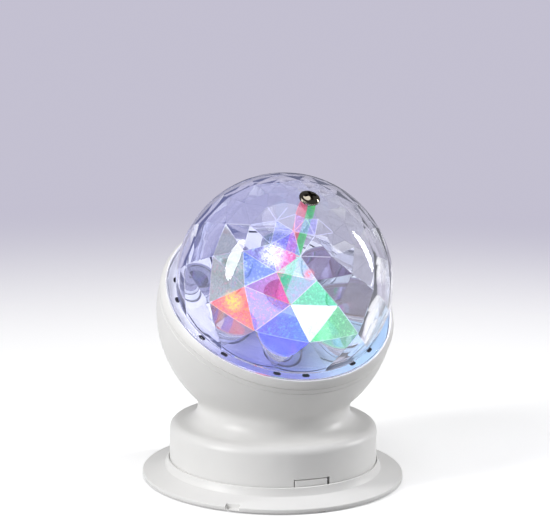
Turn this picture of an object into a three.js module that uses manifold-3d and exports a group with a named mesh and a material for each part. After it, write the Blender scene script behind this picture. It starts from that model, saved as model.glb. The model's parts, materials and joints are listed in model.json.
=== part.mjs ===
// Rotating party light: a clear faceted dome that turns over a ring of LEDs, in a white housing
// Millimetres, +Z up, origin at the centre of the footprint, the dome leans towards -Y, the front
import * as THREE from 'three';
import Module from 'manifold-3d';
import { mergeVertices } from 'three/addons/utils/BufferGeometryUtils.js';
import { ConvexGeometry } from 'three/addons/geometries/ConvexGeometry.js';

const wasm = await Module();
wasm.setup();

// Steps of the round shapes
const roundSteps = 40;
const hiddenSteps = 24;
const midSteps = 12;
const smallSteps = 8;
const shellSteps = { corner: 3, fillet: 5, ball: 12 };
const hollowSteps = { corner: 1, fillet: 2, ball: 7 };
const domeSteps = 12;
const tabSteps = 6;
const crownSteps = 3;
const curlSteps = 8;
const wireSides = 5;

// Clearances and overruns shared by all pieces
const seatGap = 0.3;
const runGap = 0.6;
const overrun = 1;

// Base plate and its rubber feet
const footLift = 0.5;
const flangeReach = 9.6;
const flangeEdgeTop = 2.4;
const flangeEdgeRound = 0.4;
const collarFootHeight = 4.4;
const collarTop = 7.8;
const collarWall = 0.8;
const collarSpread = 0.8;
const plateLedge = 3.5;
const plateFloorTop = 2.5;
const notchDeg = -38;
const notchWidth = 6;
const notchDepth = 2.4;
const notchFloor = 1.1;
const notchPinRadius = 0.6;
const notchPinInset = 1.1;
const footRadius = 4.6;
const footSink = 0.8;
const footCount = 3;

// Housing: drum, shoulder, neck and bowl in one shell
const wall = 2.2;
const drumRoom = 3.75;
const shoulderRound = 3.5;
const shoulderFlat = 2;
const neckFilletRadius = 6.4;
const tiltDeg = 33.75;
const motorRoom = 1.1;
const lipRise = 0.1;
const lipThickness = 0.8;
const lipLean = 1.1;
const bandWidth = 3.5;
const bandProud = 0.3;
const ledgeWidth = 2.4;
const ledgeDepth = 1.5;
const bossRadius = 3.5;
const bossInset = 4.8;
const bossDegs = [60, 120, 240, 300];

// Release tab in the foot of the drum
const tabNotchWidth = 15.6;
const tabNotchTop = 11.6;
const tabThickness = 2;
const tabTopGap = 0.5;
const tabLeftGap = 0.4;
const tabRightGap = 1;
const tabPivotHeight = 4.6;
const tabPivotInset = 2;
const tabPivotRadius = 0.5;
const tabPivotReach = 1.2;
const tabFootDrop = 0.9;
const tabSwingRoom = 3.4;

// Bottom cover with the battery bay, and the door that closes it
const coverThickness = 2;
const bayWall = 1.5;
const cellRadius = 7.1;
const cellLength = 50.2;
const cellNubRadius = 2.7;
const cellNubLength = 1;
const cellGap = 0.6;
const cellSideRoom = 0.5;
const cellShoulder = 0.6;
const doorThickness = 1.8;
const doorCatchWidth = 12;
const doorCatchDepth = 3;
const doorCatchHeight = 0.9;
const contactThickness = 0.5;
const contactWidth = 9;
const contactHeight = 10;
const springRoom = 5.1;
const springBaseRadius = 3.5;
const springTipRadius = 2.2;
const springWireRadius = 0.35;
const springTurns = 3;

// Screws
const shankRadius = 1.5;
const headRadius = 2.7;
const headHeight = 1.7;
const coverScrewReach = 9;
const crossWidth = 0.9;
const crossReach = 1.9;
const crossDepth = 1;
const headTopShare = 0.7;

// Control board over the battery bay
const boardRoom = 6.4;
const boardThickness = 1.6;
const boardPostHeight = 2.2;
const boardPostRadius = 2.6;
const boardPinRadius = 1;
const boardPinReach = 1.2;
const boardPostInset = 4;
const boardPostDegs = [37, 143, 217, 323];
const chipSide = 11;
const chipHeight = 2;
const capacitorRadius = 3.2;
const capacitorHeight = 8;
const capacitorX = 12;

// Power switch in the back of the drum
const switchLevel = 14;
const switchBodyWidth = 12;
const switchBodyDepth = 4;
const switchBodyHeight = 5;
const switchRibThickness = 1.5;
const switchRecessWidth = 15;
const switchRecessHeight = 7;
const switchRecessDepth = 0.8;
const knobWidth = 4;
const knobHeight = 3;
const knobProud = 0.6;
const knobTravel = 4;
const knobGroovePitch = 1.1;
const knobGrooveWidth = 0.5;
const knobGrooveDepth = 0.4;

// Deck under the dome
const deckTop = 6.6;
const deckThickness = 1.6;
const deckBossGap = 0.4;
const deckBossRadius = 2.9;
const deckBossDegs = [101.75, 191.75, 326.75];
const slotLength = 3.2;
const slotWidth = 2.2;
const slotInset = 2.6;
const slotFromLedDegs = [-3.5, 12];

// LEDs, their metallised cups and their lenses
const ledCount = 8;
const ledStartDeg = -15;
const cupRadius = 9.7;
const cupRise = 5.6;
const cupRoom = 1.015;
const cupLipWall = 0.5;
const cupPlateThickness = 1.3;
const cupPlateRim = 0.5;
const lensLedge = 0.8;
const lensEdge = 1.8;
const lensCrown = 1.8;
const ledSide = 4.4;
const ledHeight = 1.6;

// Chassis plate and gear case
const chassisRim = 3;
const chassisThickness = 1.8;
const caseWall = 1.5;
const caseFloor = 2;
const caseEarRadius = 3.6;
const caseEarHeight = 3;
const chassisScrewReach = 8;

// Gear train: three equal stages from the motor to the spindle
const gearModule = 0.9;
const wheelTeeth = 27;
const pinionTeeth = 9;
const gearAddendumShare = 0.855;
const gearDedendumShare = 1.11;
const gearBacklash = 0.24;
const gearCentreSpare = 0.1;
const pressureDeg = 25;
const gearWidth = 3;
const gearLayerGap = 0.5;
const gearPinRadius = 1.2;
const firstGearDeg = 90;
const trainTurnDeg = -60;
const motorRadius = 10;
const motorLength = 19;
const motorShaftRadius = 1;
const motorShaftSink = 5;
const motorNoseRadius = 3.4;
const motorNoseHeight = 1.2;

// Spindle, its bush and the dome that it turns
const spindleRadius = 3.2;
const journalRadius = 2;
const bushWall = 1.6;
const bushFlange = 1.2;
const bushFlangeThickness = 0.9;
const domeRoom = 4.9;
const domeWall = 2.9;
const domeCentreLevel = 17.1;
const domeFlangeReach = 2.1;
const domeFlangeThickness = 1.1;
const domeCrownRim = 1.1;
const facetCount = 12;
const facetRingDegs = [12, 22, 34.2, 45.8, 59.9, 80, 100];
const facetSkirtDeg = 106;
const facetStartDeg = -21.2;
const domeScrewShank = 1.5;
const domeScrewReach = 12;
const domeScrewHeadRadius = 4.25;
const domeScrewHeadEdge = 0.9;
const domeScrewHeadHeight = 2.2;
const domeScrewSlopeShare = 0.75;
const domeScrewTopShare = 0.4;
const domeCrossReach = 2.4;
const domeCrossWidth = 1.1;
const domeCrossDepth = 1.2;

// Places worked out from the sizes above
const tilt = THREE.MathUtils.degToRad(tiltDeg);
const cellPitch = 2 * cellRadius + cellGap;
const bayLength = cellLength + springRoom + 2 * (contactThickness + seatGap) + seatGap * 2;
const bayWidth = 2 * (cellPitch + cellRadius + cellSideRoom);
const drumInnerRadius = Math.hypot(bayLength / 2 + bayWall, bayWidth / 2 + bayWall) + drumRoom;
const drumRadius = drumInnerRadius + wall;
const drumFoot = plateFloorTop + seatGap;
const bossRingRadius = drumInnerRadius - bossInset;
const collarInnerRadius = drumRadius + seatGap;
const collarTopRadius = collarInnerRadius + collarWall;
const collarFootRadius = collarTopRadius + collarSpread;
const flangeRadius = collarFootRadius + flangeReach;
const plateHoleRadius = drumRadius - plateLedge;
const neckRadius = drumRadius - shoulderRound - shoulderFlat - neckFilletRadius;
const coverRadius = drumInnerRadius - seatGap;
const coverLow = drumFoot + seatGap;
const coverTop = coverLow + coverThickness;
const doorTop = coverLow + doorThickness;
const cellAxisHeight = doorTop + seatGap + cellRadius;
const bayRoofUnder = cellAxisHeight + cellRadius + seatGap;
const bayRoofTop = bayRoofUnder + bayWall;
const boardLow = bayRoofTop + boardPostHeight;
const boardTop = boardLow + boardThickness;
const boardSeat = boardTop + seatGap;
const boardRadius = neckRadius - wall - boardRoom;
const tabTop = tabNotchTop - tabTopGap;
const tabWidth = tabNotchWidth - tabLeftGap - tabRightGap;
const tabPivotY = -(drumRadius - tabPivotInset);
const ledRingRadius = (cupRadius + cupRoom) / Math.sin(Math.PI / ledCount);
const cupThroatRadius = ledSide / Math.SQRT2 + seatGap;
const cupPlateOuter = ledRingRadius + cupRadius + cupPlateRim;
const cupPlateInner = ledRingRadius - cupRadius - cupPlateRim;
const lensRadius = cupRadius - cupLipWall - seatGap;
const cupMouthRadius = lensRadius - lensLedge;
const facetRadius = ledRingRadius + cupRadius + domeRoom;
const domeRadius = facetRadius + domeWall;
const domeFlangeRadius = domeRadius + domeFlangeReach;
const domeCrownRadius = domeScrewHeadRadius + domeCrownRim;
const slotRingRadius = domeRadius - slotInset;
const domeFlangeLow = deckTop + runGap;
const domeFlangeTop = domeFlangeLow + domeFlangeThickness;
const lipInnerRadius = domeFlangeRadius + runGap;
const lipLevel = domeFlangeTop + lipRise;
const ledgeRadius = lipInnerRadius - ledgeWidth;
const lipOuterRadius = lipInnerRadius + lipThickness;
const creaseLevel = lipLevel - bandWidth;
const bowlRadius = Math.hypot(lipOuterRadius + lipLean, lipLevel) - bandProud;
const deckUnder = deckTop - deckThickness;
const deckRadius = lipInnerRadius - seatGap;
const deckBossRingRadius = cupPlateOuter + deckBossGap + deckBossRadius;
const chassisRadius = deckBossRingRadius + chassisRim;
const ledgeTop = deckUnder - seatGap;
const cupPlateTop = deckUnder - seatGap;
const cupPlateLow = cupPlateTop - cupPlateThickness;
const cupTop = deckTop + cupRise;
const ledBoardTop = cupPlateLow - seatGap;
const ledBoardLow = ledBoardTop - boardThickness;
const chassisTop = ledBoardLow - seatGap;
const chassisLow = chassisTop - chassisThickness;
const wheelPitchRadius = gearModule * wheelTeeth / 2;
const pinionPitchRadius = gearModule * pinionTeeth / 2;
const gearAddendum = gearModule * gearAddendumShare;
const gearDedendum = gearModule * gearDedendumShare;
const gearReach = wheelPitchRadius + pinionPitchRadius + gearCentreSpare;
const layerStep = gearWidth + gearLayerGap;
const thirdLayer = chassisLow - layerStep;
const secondLayer = thirdLayer - layerStep;
const firstLayer = secondLayer - layerStep;
const caseFloorTop = firstLayer - gearLayerGap;
const caseLow = caseFloorTop - caseFloor;
const caseRadius = gearReach + wheelPitchRadius + gearAddendum + runGap;
const bearingFloor = caseLow + caseFloor / 3;
const bearingRoof = chassisTop - chassisThickness / 3;
const motorTop = caseLow - seatGap;
const motorLow = motorTop - motorLength;
const domeCrownLevel = domeCentreLevel + Math.sqrt(domeRadius ** 2 - domeCrownRadius ** 2);
const domeRoof = domeCentreLevel + facetRadius * Math.cos(THREE.MathUtils.degToRad(facetRingDegs[0]));
const spindleTop = domeRoof - seatGap;

// Positions of the train, each one gear reach from the last
const secondGearDeg = firstGearDeg + trainTurnDeg;
const motorDeg = secondGearDeg + trainTurnDeg;
const firstGearPlace = ringPlace(gearReach, firstGearDeg);
const secondGearPlace = ringPlace(gearReach, secondGearDeg);
const motorPlace = ringPlace(gearReach, motorDeg);

// The bowl's height keeps the leaning motor off the capacitor, and sets where the neck meets the drum
const motorDrop = (motorRadius - motorPlace[1]) * Math.sin(tilt) - motorLow * Math.cos(tilt);
const bowlCentreHeight = boardSeat + capacitorHeight + motorRoom + motorDrop;
const filletRise = Math.sqrt((bowlRadius + neckFilletRadius) ** 2 - (neckRadius + neckFilletRadius) ** 2);
const shoulderTop = bowlCentreHeight - neckFilletRadius - filletRise;
const shoulderUnder = shoulderTop - wall;

// Materials
const paint = (color, roughness, metalness = 0) =>
  new THREE.MeshStandardMaterial({ color, roughness, metalness });
const whitePlastic = paint(0xecece8, 0.42);
const deckPlastic = paint(0xdfe0ee, 0.4);
const greyRubber = paint(0x55565a, 0.9);
const clearPlastic = paint(0xdfe3f5, 0.05);
const silverCoat = paint(0xc8ccd2, 0.12, 1);
const chromeSteel = paint(0x9b9ea4, 0.15, 1);
const springSteel = paint(0xb4b6b8, 0.3, 1);
const boardGreen = paint(0x1f5a3a, 0.55);
const boardWhite = paint(0xe8e9e4, 0.5);
const chipBlack = paint(0x1b1c1e, 0.5);
const gearPlastic = paint(0xf1efe6, 0.5);
const cellCoat = paint(0x3d6c4a, 0.35);
const motorSteel = paint(0xa8abb0, 0.35, 1);
const bushBronze = paint(0xa8834a, 0.4, 1);
const ledRoughness = 0.3;
const ledColors = [0x4a6bff, 0x46e070, 0xffc23c, 0xff5ad0, 0x39d8e8, 0x9a5aff, 0xf6f6ff, 0xff5a4a];

// Geometry helpers
function ringPlace(radius, deg) {
  const angle = THREE.MathUtils.degToRad(deg);
  return [radius * Math.cos(angle), radius * Math.sin(angle)];
}

function frontPlace(radius, deg) {
  return ringPlace(radius, deg - 90);
}

function signedVolume(places, corners) {
  const [a, b, c] = [new THREE.Vector3(), new THREE.Vector3(), new THREE.Vector3()];
  let sum = 0;
  for (let i = 0; i < corners.length; i += 3) {
    a.fromArray(places, corners[i] * 3);
    b.fromArray(places, corners[i + 1] * 3);
    c.fromArray(places, corners[i + 2] * 3);
    sum += a.dot(b.cross(c));
  }
  return sum / 6;
}

function solidOf(geometry) {
  const bare = geometry.clone();
  bare.deleteAttribute('normal');
  bare.deleteAttribute('uv');
  const merged = mergeVertices(bare);
  const places = new Float32Array(merged.getAttribute('position').array);
  const index = merged.getIndex().array;
  const corners = [];
  for (let i = 0; i < index.length; i += 3) {
    const [p, q, r] = [index[i], index[i + 1], index[i + 2]];
    if (p !== q && q !== r && r !== p) corners.push(p, q, r);
  }
  if (signedVolume(places, corners) < 0) corners.reverse();
  const mesh = new wasm.Mesh({ numProp: 3, vertProperties: places, triVerts: new Uint32Array(corners) });
  return new wasm.Manifold(mesh);
}

function geometryOf(solid) {
  const mesh = solid.getMesh();
  const geometry = new THREE.BufferGeometry();
  geometry.setAttribute('position', new THREE.BufferAttribute(mesh.vertProperties, 3));
  geometry.setIndex(new THREE.BufferAttribute(mesh.triVerts, 1));
  geometry.computeVertexNormals();
  return geometry;
}

function joined(first, ...others) {
  return geometryOf(others.reduce((solid, other) => solid.add(solidOf(other)), solidOf(first)));
}

function cut(first, ...tools) {
  return geometryOf(tools.reduce((solid, tool) => solid.subtract(solidOf(tool)), solidOf(first)));
}

function lathed(outline, steps = roundSteps) {
  const points = outline.map(([radius, height]) => new THREE.Vector2(radius, height));
  return new THREE.LatheGeometry(points, steps).rotateX(Math.PI / 2);
}

function ringed(outline, steps = roundSteps) {
  return lathed([...outline, outline[0]], steps);
}

function rod(radius, low, high, steps = midSteps) {
  return lathed([[0, low], [radius, low], [radius, high], [0, high]], steps);
}

function tube(inner, outer, low, high, steps = midSteps) {
  return ringed([[inner, low], [outer, low], [outer, high], [inner, high]], steps);
}

function block(width, depth, low, high) {
  return new THREE.BoxGeometry(width, depth, high - low).translate(0, 0, (low + high) / 2);
}

function extruded(shape, low, high) {
  const settings = { depth: high - low, bevelEnabled: false, curveSegments: smallSteps };
  return new THREE.ExtrudeGeometry(shape, settings).translate(0, 0, low);
}

function arc(centre, radius, fromDeg, toDeg, steps) {
  return Array.from({ length: steps + 1 }, (_, i) => {
    const angle = THREE.MathUtils.degToRad(fromDeg + (toDeg - fromDeg) * i / steps);
    return [centre[0] + radius * Math.cos(angle), centre[1] + radius * Math.sin(angle)];
  });
}

function atPlaces(places, make) {
  return places.map(([x, y], i) => make(i).translate(x, y, 0));
}

// The scene graph: lower parts stand upright, the head is turned to the dome's axis
const lamp = new THREE.Group();
const head = new THREE.Group();
head.position.z = bowlCentreHeight;
head.rotation.x = tilt;
lamp.add(head);
head.updateMatrixWorld(true);

function piece(group, name, geometry, material) {
  const mesh = new THREE.Mesh(geometryOf(solidOf(geometry)), material);
  mesh.name = name;
  group.add(mesh);
}

// Base plate: a flange with a collar round the drum's foot
function basePlate() {
  const plate = ringed([
    [plateHoleRadius, footLift],
    [flangeRadius - flangeEdgeRound, footLift],
    [flangeRadius, footLift + flangeEdgeRound],
    [flangeRadius, flangeEdgeTop - flangeEdgeRound],
    [flangeRadius - flangeEdgeRound, flangeEdgeTop],
    [collarFootRadius, collarFootHeight],
    [collarTopRadius, collarTop - flangeEdgeRound],
    [collarTopRadius - flangeEdgeRound, collarTop],
    [collarInnerRadius, collarTop],
    [collarInnerRadius, plateFloorTop],
    [plateHoleRadius, plateFloorTop],
  ]);
  const turn = THREE.MathUtils.degToRad(notchDeg);
  const depth = notchDepth + overrun;
  const notch = block(notchWidth, depth, notchFloor, collarTop)
    .translate(0, -(flangeRadius - notchDepth + depth / 2), 0).rotateZ(turn);
  const pin = rod(notchPinRadius, -overrun, collarTop, smallSteps)
    .translate(-notchWidth / 2 + notchPinInset, -(flangeRadius - notchDepth / 2), 0).rotateZ(turn);
  const seats = footPlaces().map(([x, y]) =>
    rod(footRadius + seatGap, -overrun, footLift + footSink).translate(x, y, 0));
  return cut(plate, notch, pin, ...seats);
}

function footPlaces() {
  const radius = (flangeRadius + collarInnerRadius) / 2;
  return Array.from({ length: footCount }, (_, i) => frontPlace(radius, i * 360 / footCount));
}

// Housing
function housingOutline(inset, foot, steps) {
  const centre = [neckRadius + neckFilletRadius, shoulderTop + neckFilletRadius];
  const towardsBowl = THREE.MathUtils.radToDeg(Math.atan2(bowlCentreHeight - centre[1], -centre[0]));
  const corner = [drumRadius - shoulderRound, shoulderTop - shoulderRound];
  const bowl = [0, bowlCentreHeight];
  return [
    [0, foot],
    [drumRadius - inset, foot],
    ...arc(corner, shoulderRound - inset, 0, 90, steps.corner),
    ...arc(centre, neckFilletRadius + inset, 270, towardsBowl, steps.fillet),
    ...arc(bowl, bowlRadius - inset, towardsBowl - 180, 90, steps.ball).slice(1, -1),
    [0, bowlCentreHeight + bowlRadius - inset],
  ];
}

function rimRing() {
  const outer = bowlRadius + bandProud;
  const creaseOuter = Math.sqrt(outer ** 2 - creaseLevel ** 2);
  const middle = (lipLevel + creaseLevel) / 2;
  const deep = ledgeTop - ledgeDepth;
  return ringed([
    [ledgeRadius, deep],
    [bowlRadius - wall / 2, deep],
    [bowlRadius - wall / 2, creaseLevel - bandProud],
    [creaseOuter - bandProud, creaseLevel - bandProud],
    [creaseOuter, creaseLevel],
    [Math.sqrt(outer ** 2 - middle ** 2) - lipLean / 3, middle],
    [lipOuterRadius, lipLevel],
    [ledgeRadius, lipLevel],
  ]);
}

function inHead(geometry) {
  return geometry.applyMatrix4(head.matrixWorld);
}

function housing() {
  const size = 3 * bowlRadius;
  const shell = cut(
    lathed(housingOutline(0, drumFoot, shellSteps)),
    lathed(housingOutline(wall, -overrun, hollowSteps)),
    inHead(block(size, size, creaseLevel, size)),
  );
  const bosses = bossDegs.map((deg) => {
    const [x, y] = ringPlace(bossRingRadius, deg);
    return rod(bossRadius, coverTop + seatGap, shoulderUnder + wall / 2, smallSteps).translate(x, y, 0);
  });
  const bores = bossDegs.map((deg) => {
    const [x, y] = ringPlace(bossRingRadius, deg);
    const high = coverLow + coverScrewReach + overrun;
    return rod(shankRadius + seatGap, -overrun, high, smallSteps).translate(x, y, 0);
  });
  const full = joined(shell, inHead(rimRing()), ...bosses, ...switchRibs());
  const rebate = inHead(rod(lipInnerRadius, ledgeTop, lipLevel + overrun, roundSteps));
  return cut(full, rebate, ...bores, tabNotch(), tabPivotBore(), ...switchCuts());
}

// Release tab: a sprung lever that lies flush in the drum's wall
function tabNotch() {
  const depth = wall + 2 * overrun;
  return block(tabNotchWidth, depth, -overrun, tabNotchTop)
    .translate(0, -(drumRadius + overrun - depth / 2), 0);
}

function crossRod(radius, length) {
  return rod(radius, -length / 2, length / 2, smallSteps).rotateY(Math.PI / 2);
}

function tabPivotBore() {
  return crossRod(tabPivotRadius + seatGap, tabNotchWidth + 2 * (tabPivotReach + seatGap))
    .translate(0, tabPivotY, tabPivotHeight);
}

function releaseTab() {
  const half = THREE.MathUtils.radToDeg(Math.asin(tabWidth / 2 / drumRadius));
  const shape = new THREE.Shape([
    ...arc([0, 0], drumRadius, 270 - half, 270 + half, tabSteps),
    ...arc([0, 0], drumRadius - tabThickness, 270 + half, 270 - half, tabSteps),
  ].map(([x, y]) => new THREE.Vector2(x, y)));
  const plate = extruded(shape, tabPivotHeight - tabFootDrop, tabTop);
  const pivot = crossRod(tabPivotRadius, tabWidth + 2 * tabPivotReach)
    .translate(0, tabPivotY, tabPivotHeight);
  const shift = (tabLeftGap - tabRightGap) / 2;
  return joined(plate.translate(shift, 0, 0), pivot);
}

// Bottom cover: closes the drum and holds the cells in a box that opens downwards
function bottomCover() {
  const plate = rod(coverRadius, coverLow, coverTop, roundSteps);
  const box = block(bayLength + 2 * bayWall, bayWidth + 2 * bayWall, coverTop - overrun, bayRoofTop);
  const postPlaces = boardPostPlaces();
  const post = boardPostRadius;
  const pinTop = boardTop + boardPinReach;
  const posts = atPlaces(postPlaces, () => rod(post, bayRoofTop - overrun, boardLow - seatGap, smallSteps));
  const pins = atPlaces(postPlaces, () => rod(boardPinRadius, bayRoofTop, pinTop, smallSteps));
  const bay = block(bayLength, bayWidth, -overrun, bayRoofUnder);
  const reach = tabSwingRoom + overrun;
  const window = block(tabNotchWidth + 2 * overrun, reach, -overrun, coverTop + overrun)
    .translate(0, -(coverRadius + overrun - reach / 2), 0);
  const holes = bossDegs.map((deg) => {
    const [x, y] = ringPlace(bossRingRadius, deg);
    return rod(shankRadius + seatGap, -overrun, coverTop + overrun, smallSteps).translate(x, y, 0);
  });
  return cut(joined(plate, box, ...posts, ...pins), bay, window, ...holes);
}

function boardPostPlaces() {
  return boardPostDegs.map((deg) => ringPlace(boardRadius - boardPostInset, deg));
}

function batteryDoor() {
  const door = block(bayLength - 2 * seatGap, bayWidth - 2 * seatGap, coverLow, doorTop);
  const grip = block(doorCatchWidth, doorCatchDepth, coverLow - overrun, coverLow + doorCatchHeight)
    .translate(0, -(bayWidth / 2 - doorCatchDepth), 0);
  return cut(door, grip);
}

// Cells lie along X, the middle one turned round
function cell() {
  return lathed([
    [0, 0],
    [cellRadius - cellShoulder, 0],
    [cellRadius, cellShoulder],
    [cellRadius, cellLength - cellNubLength - cellShoulder],
    [cellRadius - cellShoulder, cellLength - cellNubLength],
    [cellNubRadius, cellLength - cellNubLength],
    [cellNubRadius, cellLength],
    [0, cellLength],
  ], midSteps).rotateY(Math.PI / 2);
}

const plateFace = bayLength / 2 - seatGap - contactThickness;
const nubFace = plateFace - seatGap;

function cellAt(row) {
  const turned = cell().translate(nubFace - cellLength, 0, 0);
  if (row === 1) turned.rotateZ(Math.PI);
  return turned.translate(0, (row - 1) * cellPitch, cellAxisHeight);
}

// Battery contacts: strips at the bay's ends, with a conical spring for each flat cell end
class SpringLine extends THREE.Curve {
  getPoint(t, target = new THREE.Vector3()) {
    const angle = t * springTurns * 2 * Math.PI;
    const radius = springBaseRadius + (springTipRadius - springBaseRadius) * t;
    const length = springRoom + contactThickness / 2;
    return target.set(t * length, radius * Math.cos(angle), radius * Math.sin(angle));
  }
}

function contactSpring() {
  const line = new SpringLine();
  const ends = arc([0, 0], springWireRadius, 0, 360, wireSides).slice(1);
  const wire = new THREE.Shape(ends.map(([x, y]) => new THREE.Vector2(x, y)));
  const settings = { steps: springTurns * curlSteps, bevelEnabled: false, extrudePath: line };
  return new THREE.ExtrudeGeometry(wire, settings);
}

function springLeastGap() {
  const points = new SpringLine().getPoints(springTurns * curlSteps);
  const halfTurn = curlSteps / 2;
  let least = Infinity;
  points.forEach((p, i) => points.slice(i + halfTurn + 1).forEach((q) => {
    least = Math.min(least, p.distanceTo(q) - 2 * springWireRadius);
  }));
  return least;
}
console.log('least gap between turns of a contact spring, mm:', springLeastGap().toFixed(2));

function contactStrip(rows, springRow, end) {
  const low = cellAxisHeight - contactHeight / 2;
  const centre = rows.reduce((sum, row) => sum + row - 1, 0) / rows.length * cellPitch;
  const width = contactWidth + (rows.length - 1) * cellPitch;
  const strip = block(contactThickness, width, low, low + contactHeight)
    .translate(-(plateFace + contactThickness / 2), centre, 0);
  const made = springRow === undefined ? strip : joined(strip, contactSpring()
    .translate(-(plateFace + contactThickness / 2), (springRow - 1) * cellPitch, cellAxisHeight));
  return end < 0 ? made : mirrored(made);
}

function mirrored(geometry) {
  return geometry.applyMatrix4(new THREE.Matrix4().makeScale(-1, 1, 1));
}

// A pan-head screw along Z with its head downwards, its seat at level zero
function screw(reach) {
  const body = lathed([
    [0, -headHeight],
    [headRadius * headTopShare, -headHeight],
    [headRadius, -headHeight / 2],
    [headRadius, 0],
    [shankRadius, 0],
    [shankRadius, reach],
    [0, reach],
  ], smallSteps);
  return cut(body, ...crossRecess(crossWidth, crossReach, -headHeight - overrun, crossDepth - headHeight));
}

function crossRecess(width, reach, low, high) {
  return [block(width, 2 * reach, low, high), block(2 * reach, width, low, high)];
}

// Control board and what stands on it
function controlBoard() {
  const board = rod(boardRadius, boardLow, boardTop, hiddenSteps);
  const holes = atPlaces(boardPostPlaces(), () =>
    rod(boardPinRadius + seatGap, boardLow - overrun, boardTop + overrun, smallSteps));
  return cut(board, ...holes);
}

// Power switch: its knob slides along X in a slot through the back wall
const switchFront = Math.sqrt(drumInnerRadius ** 2 - (switchBodyWidth / 2) ** 2) - seatGap;

function switchRibs() {
  const low = switchLevel - switchBodyHeight / 2;
  const high = switchLevel + switchBodyHeight / 2;
  const back = switchFront - switchBodyDepth;
  const depth = drumInnerRadius + wall / 2 - back;
  const side = switchBodyWidth / 2 + seatGap + switchRibThickness / 2;
  return [-side, side].map((x) =>
    block(switchRibThickness, depth - wall / 2, low, high).translate(x, back + depth / 2 - wall / 4, 0));
}

function switchCuts() {
  const slot = block(knobWidth + knobTravel + 2 * seatGap, 2 * wall + 2 * overrun,
    switchLevel - knobHeight / 2 - seatGap, switchLevel + knobHeight / 2 + seatGap)
    .translate(0, drumRadius, 0);
  const recess = block(switchRecessWidth, 2 * switchRecessDepth,
    switchLevel - switchRecessHeight / 2, switchLevel + switchRecessHeight / 2)
    .translate(0, drumRadius, 0);
  return [slot, recess];
}

function switchBody() {
  return block(switchBodyWidth, switchBodyDepth,
    switchLevel - switchBodyHeight / 2, switchLevel + switchBodyHeight / 2)
    .translate(0, switchFront - switchBodyDepth / 2, 0);
}

function switchKnob() {
  const inner = switchFront + seatGap;
  const outer = drumRadius + knobProud;
  const knob = block(knobWidth, outer - inner, switchLevel - knobHeight / 2, switchLevel + knobHeight / 2)
    .translate(-knobTravel / 2, (inner + outer) / 2, 0);
  const grooves = [-1, 0, 1].map((i) =>
    block(knobGrooveWidth, 2 * knobGrooveDepth, switchLevel - knobHeight, switchLevel + knobHeight)
      .translate(-knobTravel / 2 + i * knobGroovePitch, outer, 0));
  return cut(knob, ...grooves);
}

// Deck: the pale disc under the dome, with the LED cups standing through it
function deckPlate() {
  const disc = rod(deckRadius, deckUnder, deckTop, roundSteps);
  const openings = atPlaces(ledPlaces(), () =>
    rod(cupRadius + seatGap, deckUnder - overrun, deckTop + overrun));
  const slots = slotDegs().map((deg) =>
    block(slotLength, slotWidth, deckUnder - overrun, deckTop + overrun)
      .translate(0, -slotRingRadius, 0).rotateZ(THREE.MathUtils.degToRad(deg)));
  const bosses = atPlaces(deckBossPlaces(), () =>
    rod(deckBossRadius, chassisTop + seatGap, deckUnder + deckThickness / 2, smallSteps));
  const bores = atPlaces(deckBossPlaces(), () =>
    rod(shankRadius + seatGap, chassisTop, deckUnder, smallSteps));
  const centre = rod(bushOuter() + seatGap, deckUnder - overrun, deckTop + overrun);
  return cut(joined(disc, ...bosses), ...openings, ...slots, ...bores, centre);
}

// Two slots beside each LED
function slotDegs() {
  return ledDegs().flatMap((deg) => slotFromLedDegs.map((apart) => deg + apart));
}

function deckBossPlaces() {
  return deckBossDegs.map((deg) => ringPlace(deckBossRingRadius, deg));
}

function ledDegs() {
  return Array.from({ length: ledCount }, (_, i) => ledStartDeg + i * 360 / ledCount);
}

function ledPlaces() {
  return ledDegs().map((deg) => frontPlace(ledRingRadius, deg));
}

function bushOuter() {
  return spindleRadius + seatGap + bushWall;
}

function spindleBush() {
  const inner = spindleRadius + seatGap;
  const flange = bushOuter() + bushFlange;
  const seat = deckTop + seatGap;
  return ringed([
    [inner, deckUnder],
    [bushOuter(), deckUnder],
    [bushOuter(), seat],
    [flange, seat],
    [flange, seat + bushFlangeThickness],
    [inner, seat + bushFlangeThickness],
  ], midSteps);
}

// LED cups: one metallised moulding under the deck
function reflectorCups() {
  const plate = tube(cupPlateInner, cupPlateOuter, cupPlateLow, cupPlateTop, hiddenSteps);
  const lensSeat = cupTop - lensEdge;
  const cups = atPlaces(ledPlaces(), () => rod(cupRadius, cupPlateLow, cupTop));
  const hollows = atPlaces(ledPlaces(), () => lathed([
    [0, cupPlateLow - overrun],
    [cupThroatRadius, cupPlateLow - overrun],
    [cupThroatRadius, cupPlateLow],
    [cupMouthRadius, lensSeat],
    [lensRadius + seatGap, lensSeat],
    [lensRadius + seatGap, cupTop + overrun],
    [0, cupTop + overrun],
  ], midSteps));
  return cut(joined(plate, ...cups), ...hollows);
}

function ledLens() {
  const low = cupTop - lensEdge + seatGap;
  const edge = low + lensEdge;
  const ball = (lensRadius ** 2 + lensCrown ** 2) / (2 * lensCrown);
  const half = THREE.MathUtils.radToDeg(Math.asin(lensRadius / ball));
  const crown = arc([0, edge + lensCrown - ball], ball, 90 - half, 90, crownSteps);
  return lathed([[0, low], [lensRadius, low], ...crown.slice(0, -1), [0, edge + lensCrown]], midSteps);
}

function ledBoard() {
  return tube(cupPlateInner, cupPlateOuter, ledBoardLow, ledBoardTop, hiddenSteps);
}

function ledEmitter() {
  const low = ledBoardTop + seatGap;
  return block(ledSide, ledSide, low, low + ledHeight);
}

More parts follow.
